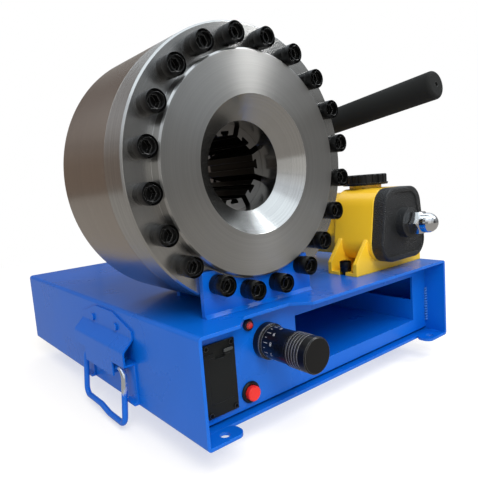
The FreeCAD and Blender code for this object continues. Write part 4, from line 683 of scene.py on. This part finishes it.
# How squarely a face has to look ahead to be ground, or down to take the painted shade.
GROUND_FROM = 0.80
GROUND_TO = 0.90
UNDERSIDE_SHADE_FROM = 0.2
UNDERSIDE_SHADE_TO = 0.7
die_steel = finish("die_steel", (0.048, 0.045, 0.041), (0.45, 0.44, 0.42), 0.48, metallic=1.0, wear_and_glint_share=0.8,
                   grain=700, depth=0.00001, edge_radius=0.0004, scratches=0.15)
die_tree = die_steel.node_tree
die_shader = die_tree.nodes["Principled BSDF"]
die_shader.inputs["Specular Tint"].default_value = (0.25, 0.22, 0.18, 1)
die_geometry = die_tree.nodes.new("ShaderNodeNewGeometry")
die_faces = split(die_tree, die_geometry.outputs["Normal"])
facing = math_node(die_tree, "MULTIPLY", die_faces["Y"], -1.0)
ground_face = spread(die_tree, facing, 0.0, 1.0, GROUND_FROM, GROUND_TO)
# Painted shade: faces turned downwards are darkened.
hanging = math_node(die_tree, "MULTIPLY", die_faces["Z"], -1.0)
underside_shade = spread(die_tree, hanging, 0.0, 1.0, UNDERSIDE_SHADE_FROM, UNDERSIDE_SHADE_TO)
shaded_body = blend_colours(die_tree, underside_shade, die_shader.inputs["Base Color"].links[0].from_socket,
                          PAINTED_UNDERSIDE_SHADE)
feed(die_tree, die_shader.inputs["Base Color"],
     blend_colours(die_tree, ground_face, shaded_body, GROUND_SHADE))
print("die steel nodes:", len(die_tree.nodes))

# %% [markdown]
# ## The worn bend of the left bail
# The left bail has been lifted by its front bend for years, and there the paint is rubbed off to bright
# steel. A mask falls off with the distance from that bend, and noise tears its edge.

# %% Wear the bail
WORN_BEND = (-0.1965, -0.0965, 0.029)
# The worn place is longer upwards than it is wide.
WORN_STRETCH = (1.0, 1.0, 0.55)
BARE_WITHIN = 0.006
PAINTED_BEYOND = 0.009
TEAR_SCALE = 260.0
TEAR = 0.004
BARE_STEEL = (0.84, 0.90, 0.95)
worn_bail_paint = blue_paint.copy()
worn_bail_paint.name = "worn_bail_paint"
bail_tree = worn_bail_paint.node_tree
bail_shader = bail_tree.nodes["Principled BSDF"]
from_bend = length_of(bail_tree, object_place(bail_tree, WORN_BEND, WORN_STRETCH))
torn = spread(bail_tree, noise(bail_tree, object_place(bail_tree), TEAR_SCALE), -TEAR, TEAR)
rubbed = spread(bail_tree, math_node(bail_tree, "ADD", from_bend, torn), 1.0, 0.0,
                BARE_WITHIN, PAINTED_BEYOND)
blue_coat = bail_shader.inputs["Base Color"].links[0].from_socket
feed(bail_tree, bail_shader.inputs["Base Color"],
     blend_colours(bail_tree, rubbed, blue_coat, BARE_STEEL))
feed(bail_tree, bail_shader.inputs["Metallic"], rubbed)
print("worn bail nodes:", len(bail_tree.nodes))

# %% [markdown]
# ## Painting the solids
# Every solid gets its finish by name. The names come from the construction, so the list below reads like
# a paint shop's order sheet. The meshes themselves are never touched.

# %% Paint the solids
PAINT_SHOP = {
    blue_paint: (
        "base_shell", "front_panel", "bottom_plate", "rear_panel", "bay_tray", "head_bracket", "head_saddle",
        "handle_plate_left", "handle_plate_right", "handle_rivets_left", "handle_rivets_right",
        "handle_bail_right"),
    worn_bail_paint: ("handle_bail_left",),
    yellow_paint: ("pump_case", "pump_block"),
    battery_plastic: ("battery_case", "battery_drawer"),
    black_oxide: ("head_bolts", "pump_screws", "lever_yoke", "lever_tube"),
    black_plastic: ("button_bezel", "filler_cap", "release_knob"),
    black_anodised: ("dial_flange", "dial_knob"),
    black_rubber: ("pump_end_cap", "piston_seal"),
    foam_rubber: ("lever_grip",),
    red_plastic: ("button_cap",),
    red_lens: ("lamp_lens",),
    chrome: ("pump_cap_nut", "plunger"),
    dark_zinc: ("battery_screws", "lamp_bezel"),
    bright_steel: ("port_fitting", "plunger_gland", "lever_pin"),
    piston_steel: ("piston", "piston_tail"),
    ring_steel: ("front_ring",),
    barrel_steel: ("barrel",),
    die_steel: tuple(name for name in solids if name.startswith("die_")),
}


def paint(thing, material):
    """Replace every material slot of a solid by one finish."""
    for index in range(len(thing.data.materials)):
        thing.data.materials[index] = material
    if not thing.data.materials:
        thing.data.materials.append(material)


painted = set()
for material, names in PAINT_SHOP.items():
    for name in names:
        paint(solids[name], material)
        painted.add(name)
print("painted:", len(painted), "left bare:", sorted(set(solids) - painted))

# %% [markdown]
# ## How the small pieces are made
# The pieces that follow are modelled as one would at the keyboard: a primitive at its size and place, then
# work in edit mode. The helpers only save typing. Bolts, ticks, crosses and weld drops are modelled once, as
# patterns at the origin that are copied and then thrown away. The helper called settle finishes a piece: its
# place goes into its mesh, it gets its finish, and it rides on the body that carries it.

# %% Write the modelling helpers
MM = 0.001


def into_edit(kind="VERT"):
    """Open a piece in edit mode with everything selected."""
    bpy.ops.object.mode_set(mode="EDIT")
    bpy.ops.mesh.select_mode(type=kind)
    bpy.ops.mesh.select_all(action="SELECT")


def choose_faces(thing, wanted):
    """Select the faces that pass a test, and stay in edit mode."""
    into_edit("FACE")
    bpy.ops.mesh.select_all(action="DESELECT")
    bpy.ops.object.mode_set(mode="OBJECT")
    for face in thing.data.polygons:
        face.select = wanted(face)
    bpy.ops.object.mode_set(mode="EDIT")


def thicken(thing, thickness):
    """Give an open skin a thickness, half of it to either side."""
    body = thing.modifiers.new("body", "SOLIDIFY")
    body.thickness = thickness
    body.offset = 0
    bpy.ops.object.modifier_apply(modifier="body")


def copy_to(pattern, place, rotation, scale=1.0):
    """Copy a pattern to a place, with a mesh of its own."""
    start()
    pattern.select_set(True)
    bpy.context.view_layer.objects.active = pattern
    bpy.ops.object.duplicate(linked=False)
    copy = bpy.context.object
    copy.location = place
    copy.rotation_euler = rotation
    copy.scale = (scale, scale, scale)
    apply_place()
    return copy


def throw_away(*patterns):
    """Delete the patterns when their copies are made."""
    start()
    for pattern in patterns:
        pattern.select_set(True)
    bpy.ops.object.delete()


def settle(thing, name, material, body, smooth=40):
    """Apply the place, shade, paint and let the piece ride."""
    start()
    thing.select_set(True)
    bpy.context.view_layer.objects.active = thing
    apply_place()
    bpy.ops.object.shade_smooth_by_angle(angle=math.radians(smooth))
    thing.name = name
    thing.data.name = name
    if material is not None:
        thing.data.materials.clear()
        thing.data.materials.append(material)
    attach(thing, body)
    return thing


def join_all(parts):
    """Join pieces into the first one."""
    start()
    for part in parts:
        part.select_set(True)
    bpy.context.view_layer.objects.active = parts[0]
    bpy.ops.object.join()
    return bpy.context.object


# %% [markdown]
# ## Knurled bolt heads
# Socket screws of this size have ribs round their heads and a chamfer where the key goes in. The ribs are a
# thin tube whose faces are inset one by one and pushed out. The chamfer is a ring, extruded inwards and
# sloped, which catches the light. Twenty dress the head's screws, and four smaller ones the pump's.

# %% Dress the bolts
HEAD_RADIUS = 9.0 * MM
SLEEVE_PROUD = 0.02 * MM
SLEEVE_FROM = 0.9 * MM
BOLT_RIBS = 54
RIB_DEPTH = 0.14 * MM
RIB_LENGTH = 9.0 * MM
RIB_MARGIN = 0.2 * MM
RIM_RADIUS = 6.6 * MM
RIM_PROUD = 0.35 * MM
RIM_SLOPE = 0.3 * MM
RIM_THICKNESS = 0.15 * MM
MOUTH_RADIUS = 5.85 * MM
BOLT_CIRCLE = 114 * MM
BOLTS = 20
RING_FACE_Y = -0.183
BRACKET_FACE_Y = -0.188
HEAD_HEIGHT = 12 * MM
BRACKET_TOP = 0.136
PUMP_SCREW_SCALE = 13 / 18
PUMP_SCREW_TOP = 0.107
PUMP_SCREW_X = (0.0565, 0.1735)
PUMP_SCREW_Y = (-0.1741, 0.0025)

rim_steel = finish("rim_steel", (0.022, 0.022, 0.022), (0.25, 0.25, 0.25), 0.22, metallic=1.0, wear_and_glint_share=0.4,
                   grain=900, depth=0.00001, edge_radius=0.0003)


def model_ribs():
    """A knurled sleeve round a head that points at -Z, with the head's front at the origin."""
    start()
    bpy.ops.mesh.primitive_cylinder_add(vertices=BOLT_RIBS, radius=HEAD_RADIUS + SLEEVE_PROUD,
                                        depth=RIB_LENGTH, end_fill_type="NOTHING",
                                        location=(0, 0, SLEEVE_FROM + RIB_LENGTH / 2))
    sleeve = bpy.context.object
    into_edit("FACE")
    bpy.ops.mesh.inset(thickness=RIB_MARGIN, depth=RIB_DEPTH, use_individual=True)
    bpy.ops.object.mode_set(mode="OBJECT")
    sleeve.data.materials.append(rib_black)
    return sleeve


def model_socket_rim():
    """The chamfer round the key's socket: a ring that slopes inwards, with a little thickness."""
    start()
    bpy.ops.mesh.primitive_circle_add(vertices=48, radius=RIM_RADIUS, location=(0, 0, -RIM_PROUD))
    rim = bpy.context.object
    into_edit()
    bpy.ops.mesh.extrude_region_move()
    bpy.ops.transform.resize(value=(MOUTH_RADIUS / RIM_RADIUS,) * 3)
    bpy.ops.transform.translate(value=(0, 0, RIM_SLOPE))
    bpy.ops.object.mode_set(mode="OBJECT")
    thicken(rim, RIM_THICKNESS)
    rim.data.materials.append(rim_steel)
    return rim


bolt_pattern = join_all([model_ribs(), model_socket_rim()])
dressed = []
for index in range(BOLTS):
    angle = 2 * math.pi * (index + 0.5) / BOLTS
    x = HEAD_AXIS[0] + BOLT_CIRCLE * math.sin(angle)
    z = HEAD_AXIS[1] + BOLT_CIRCLE * math.cos(angle)
    seat = BRACKET_FACE_Y if z < BRACKET_TOP else RING_FACE_Y
    piece = copy_to(bolt_pattern, (x, seat - HEAD_HEIGHT, z), (-math.pi / 2, 0, 0))
    dressed.append(settle(piece, "bolt_dress_%02d" % (index + 1), None, "frame"))
for row, y in enumerate(PUMP_SCREW_Y):
    for column, x in enumerate(PUMP_SCREW_X):
        piece = copy_to(bolt_pattern, (x, y, PUMP_SCREW_TOP), (math.pi, 0, 0), PUMP_SCREW_SCALE)
        dressed.append(settle(piece, "pump_screw_dress_%d%d" % (row + 1, column + 1), None, "frame"))
throw_away(bolt_pattern)
print("screws dressed:", len(dressed))

# %% [markdown]
# ## The dial's scale
# The dial turns like a micrometer's thimble. Its drum carries a tick for every division and a plain number
# at every second one, raised by a hair as thick paint is. The numbers are text turned into a mesh. Each one
# faces straight out from the drum and reads along the axis. A thin band of bright metal lies at the edge of
# each groove of the grip, and two more at the flange's rim and at the drum's foot: painted highlights for
# the light that these edges catch.

# %% Mark the dial
DIAL_AXIS = Vector((-0.0935, 0, 0.063))
DRUM_RADIUS = 15 * MM
GRIP_RADIUS = 16 * MM
FLANGE_RADIUS = 17 * MM
DIAL_TICKS = 20
TICK_START_Y = -0.2112
LONG_TICK = 4.6 * MM
SHORT_TICK = 2.0 * MM
TICK_WIDTH = 0.5 * MM
TICK_HEIGHT = 0.12 * MM
TICK_BEVEL = 0.04 * MM
TICK_LIFT = 0.02 * MM
TICKS_PER_NUMBER = 2
NUMBERS = DIAL_TICKS // TICKS_PER_NUMBER
NUMBER_Y = -0.2200
NUMBER_SIZE = 4.8 * MM
NUMBER_HEIGHT = 0.06 * MM
NUMBER_SINK = 0.01 * MM
RING_WIDTH = 0.35 * MM
RING_PROUD = 0.03 * MM
RING_THICKNESS = 0.06 * MM
FIRST_GROOVE_Y = -0.2406
GROOVE_PITCH = 3.2 * MM
GROOVES = 5
FLANGE_RING_Y = -0.2066
DRUM_FOOT_Y = -0.2079
RING_PLACES = [(GRIP_RADIUS, FIRST_GROOVE_Y - GROOVE_PITCH * groove) for groove in range(GROOVES)]
RING_PLACES += [(FLANGE_RADIUS, FLANGE_RING_Y), (DRUM_RADIUS, DRUM_FOOT_Y)]


def outward(angle):
    """The direction out of the drum, at an angle from its top."""
    return Vector((math.sin(angle), 0, math.cos(angle)))


def on_drum(angle, lift, y):
    """A place that far above the drum's skin."""
    return DIAL_AXIS + outward(angle) * (DRUM_RADIUS + lift) + Vector((0, y, 0))


def facing_out(angle):
    """A rotation whose Z points out of the drum and whose Y points at the panel."""
    out = outward(angle)
    head = Vector((0, 1, 0))
    side = head.cross(out)
    return Matrix((side, head, out)).transposed().to_euler()


def model_tick(length):
    """A raised tick with its edges broken."""
    start()
    bpy.ops.mesh.primitive_cube_add(size=1, scale=(TICK_WIDTH, length, TICK_HEIGHT))
    tick = bpy.context.object
    apply_place()
    into_edit("EDGE")
    bpy.ops.mesh.bevel(offset=TICK_BEVEL, segments=1)
    bpy.ops.object.mode_set(mode="OBJECT")
    return tick


def model_bright_ring(radius, y):
    """A band round the dial, extruded along the axis and given the thickness of a scratch."""
    start()
    bpy.ops.mesh.primitive_circle_add(vertices=72, radius=radius + RING_PROUD,
                                      rotation=(math.pi / 2, 0, 0),
                                      location=(DIAL_AXIS.x, y, DIAL_AXIS.z))
    ring = bpy.context.object
    into_edit()
    bpy.ops.mesh.extrude_region_move()
    bpy.ops.transform.translate(value=(0, -RING_WIDTH, 0))
    bpy.ops.object.mode_set(mode="OBJECT")
    thicken(ring, RING_THICKNESS)
    return ring


# The bands' bright metal is a painted highlight, put where the dial's edges catch the light.
ring_highlight_metal = finish("ring_highlight_metal", (0.62, 0.62, 0.62), (0.9, 0.9, 0.9), 0.3, metallic=0.6, grain=1500)
tick_patterns = [model_tick(LONG_TICK), model_tick(SHORT_TICK)]
ticks = []
for index in range(DIAL_TICKS):
    angle = 2 * math.pi * index / DIAL_TICKS
    length = SHORT_TICK if index % TICKS_PER_NUMBER else LONG_TICK
    place = on_drum(angle, TICK_LIFT, TICK_START_Y - length / 2)
    ticks.append(copy_to(tick_patterns[index % TICKS_PER_NUMBER], place, facing_out(angle)))
throw_away(*tick_patterns)
settle(join_all(ticks), "dial_ticks", scale_white, "dial")

numbers = []
for index in range(NUMBERS):
    angle = 2 * math.pi * index / NUMBERS
    start()
    bpy.ops.object.text_add(location=(0, 0, 0))
    text = bpy.context.object
    text.data.body = str(index)
    text.data.size = NUMBER_SIZE
    text.data.extrude = NUMBER_HEIGHT
    text.data.align_x = "CENTER"
    text.data.align_y = "CENTER"
    bpy.ops.object.convert(target="MESH")
    number = bpy.context.object
    number.location = on_drum(angle, -NUMBER_SINK, NUMBER_Y)
    along_axis = facing_out(angle).to_matrix() @ Matrix.Rotation(math.pi / 2, 3, "Z")
    number.rotation_euler = along_axis.to_euler()
    apply_place()
    numbers.append(number)
settle(join_all(numbers), "dial_numbers", scale_white, "dial")

highlight_rings = [model_bright_ring(radius, y) for radius, y in RING_PLACES]
settle(join_all(highlight_rings), "dial_highlight_rings", ring_highlight_metal, "dial")
print("ticks:", DIAL_TICKS, "numbers:", len(numbers), "rings:", len(RING_PLACES))

# %% [markdown]
# ## The recesses in the battery's screws
# Each little pan head has a cross for the screwdriver. A cross is a square whose four side faces are
# extruded outwards. It is a painted shade: dead black, it hardly stands out of the head and stands in for
# the shadow in a hollow.

# %% Cut the crosses
CROSS_ARM = 0.55 * MM
CROSS_REACH = 0.95 * MM
CROSS_DEPTH = 0.1 * MM
SCREW_RADIUS = 2.25 * MM
# From the foremost face of the screws back to a cross; the upper screws stand a millimetre further back.
LOWER_BACK = -0.01 * MM
UPPER_BACK = 0.99 * MM
FIRST_TURN = 20
TURN_STEP = 35
battery_low, battery_high = [Vector(corner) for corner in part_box("battery_screws")]
# Painted shade: the dead black of the cross stands in for the shadow inside the recess.
recess_shade_black = finish("recess_shade_black", (0.002, 0.002, 0.002), (0.01, 0.01, 0.01), 0.7, gloss=0.1)


def model_cross():
    """A square with its four sides pulled out."""
    start()
    bpy.ops.mesh.primitive_cube_add(size=1, scale=(CROSS_ARM, CROSS_DEPTH, CROSS_ARM))
    cross = bpy.context.object
    apply_place()
    for step in (Vector((1, 0, 0)), Vector((-1, 0, 0)), Vector((0, 0, 1)), Vector((0, 0, -1))):
        choose_faces(cross, lambda face: face.normal.dot(step) > 0.9
                     and abs(face.center.dot(step)) < CROSS_ARM)
        bpy.ops.mesh.extrude_region_move(TRANSFORM_OT_translate={"value": step * CROSS_REACH})
        bpy.ops.object.mode_set(mode="OBJECT")
    return cross


cross_pattern = model_cross()
crosses = []
for x in (battery_low.x + SCREW_RADIUS, battery_high.x - SCREW_RADIUS):
    for z, back in ((battery_low.z + SCREW_RADIUS, LOWER_BACK), (battery_high.z - SCREW_RADIUS, UPPER_BACK)):
        spin = math.radians(FIRST_TURN + TURN_STEP * len(crosses))
        crosses.append(copy_to(cross_pattern, (x, battery_low.y + back, z), (0, spin, 0)))
throw_away(cross_pattern)
settle(join_all(crosses), "screw_crosses", recess_shade_black, "frame")
print("crosses:", len(crosses))

# %% [markdown]
# ## The lamp's glass and the battery's latch
# The pilot lamp has a cut glass: a ball of few flat faces, halved and flattened, so that it sparkles. The
# battery's drawer is held by a small sprung latch, a bar with a shallow field pressed in and its edges
# broken.

# %% Cut the lamp's glass
LAMP_PLACE = Vector((-0.115, -0.2022, 0.083))
GLASS_RADIUS = 3.1 * MM
GLASS_FLATNESS = 0.55
start()
bpy.ops.mesh.primitive_uv_sphere_add(segments=8, ring_count=6, radius=GLASS_RADIUS,
                                     rotation=(math.pi / 2, 0, 0))
glass = bpy.context.object
apply_place()
into_edit()
bpy.ops.mesh.bisect(plane_co=(0, 0, 0), plane_no=(0, 1, 0), use_fill=True, clear_outer=True)
into_edit()
bpy.ops.transform.resize(value=(1, GLASS_FLATNESS, 1))
bpy.ops.object.mode_set(mode="OBJECT")
glass.location = LAMP_PLACE
settle(glass, "lamp_glass", red_lens, "frame", smooth=5)
print("glass faces:", len(glass.data.polygons))

# %% Press the latch
LATCH_SIZE = (9.5 * MM, 1.0 * MM, 2.6 * MM)
LATCH_PLACE = (-0.1405, -0.2014, 0.0683)
FIELD_MARGIN = 0.5 * MM
FIELD_DEPTH = 0.25 * MM
LATCH_BEVEL = 0.12 * MM
latch_grey = finish("latch_grey", (0.055, 0.06, 0.06), (0.2, 0.2, 0.2), 0.28, wear_and_glint_share=0.6, grain=1200,
                    depth=0.00001, edge_radius=0.0003, gloss=0.7)
start()
bpy.ops.mesh.primitive_cube_add(size=1, scale=LATCH_SIZE, location=LATCH_PLACE)
latch = bpy.context.object
bpy.ops.object.transform_apply(location=False, rotation=True, scale=True)
choose_faces(latch, lambda face: face.normal.y < -0.9)
bpy.ops.mesh.inset(thickness=FIELD_MARGIN, depth=-FIELD_DEPTH)
bpy.ops.mesh.select_all(action="SELECT")
bpy.ops.mesh.select_mode(type="EDGE")
bpy.ops.mesh.bevel(offset=LATCH_BEVEL, segments=2)
bpy.ops.object.mode_set(mode="OBJECT")
settle(latch, "battery_latch", latch_grey, "frame")
print("latch faces:", len(latch.data.polygons))

# %% [markdown]
# ## The weld of the front panel
# A short weld holds the panel in the base's right corner. It is laid down drop by drop, so one drop is
# modelled, a squashed ball that leans and loses the half inside the corner, and its copies overlap like
# scales.

# %% Lay the weld
WELD_RADIUS = 2.3 * MM
WELD_PITCH = 3.4 * MM
WELD_BOTTOM = 0.016
WELD_DROPS = 13
WELD_INSET = 0.9 * MM
DROP_FLATNESS = 0.62
DROP_LEAN = 20
DROP_CUT = 0.6 * MM
# No hand lays drops evenly: each one is moved and turned a little, in two waves out of step.
WELD_SWAY = 0.3 * MM
SWAY_WAVE = 2.3
DROP_TURN = 0.25
TURN_WAVE = 1.7
panel_low, panel_high = [Vector(corner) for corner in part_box("front_panel")]
# The drops' edges turn whitish: partly worn paint, partly a painted highlight on the bumpy bead.
weld_paint = finish("weld_paint", (0.03, 0.17, 0.55), (0.55, 0.66, 0.85), 0.28, wear_and_glint_share=0.7, grain=900,
                    depth=0.00003, edge_radius=0.0008)
start()
bpy.ops.mesh.primitive_uv_sphere_add(segments=14, ring_count=8, radius=WELD_RADIUS)
weld_pattern = bpy.context.object
into_edit()
bpy.ops.transform.resize(value=(1, 1, DROP_FLATNESS))
bpy.ops.transform.rotate(value=math.radians(DROP_LEAN), orient_axis="X", center_override=(0, 0, 0))
bpy.ops.mesh.bisect(plane_co=(DROP_CUT, DROP_CUT, 0), plane_no=(1, 1, 0), use_fill=True, clear_outer=True)
bpy.ops.object.mode_set(mode="OBJECT")
drops = []
for index in range(WELD_DROPS):
    sway = WELD_SWAY * math.sin(SWAY_WAVE * index)
    place = (panel_high.x - WELD_INSET + sway, panel_low.y - WELD_INSET, WELD_BOTTOM + WELD_PITCH * index)
    drops.append(copy_to(weld_pattern, place, (0, 0, DROP_TURN * math.sin(TURN_WAVE * index))))
throw_away(weld_pattern)
settle(join_all(drops), "panel_weld", weld_paint, "frame", smooth=60)
print("weld drops:", len(drops))

# %% [markdown]
# ## The end
# The view layer is brought up to date, so that every piece stands where it was put.

# %% Finish
bpy.context.view_layer.update()
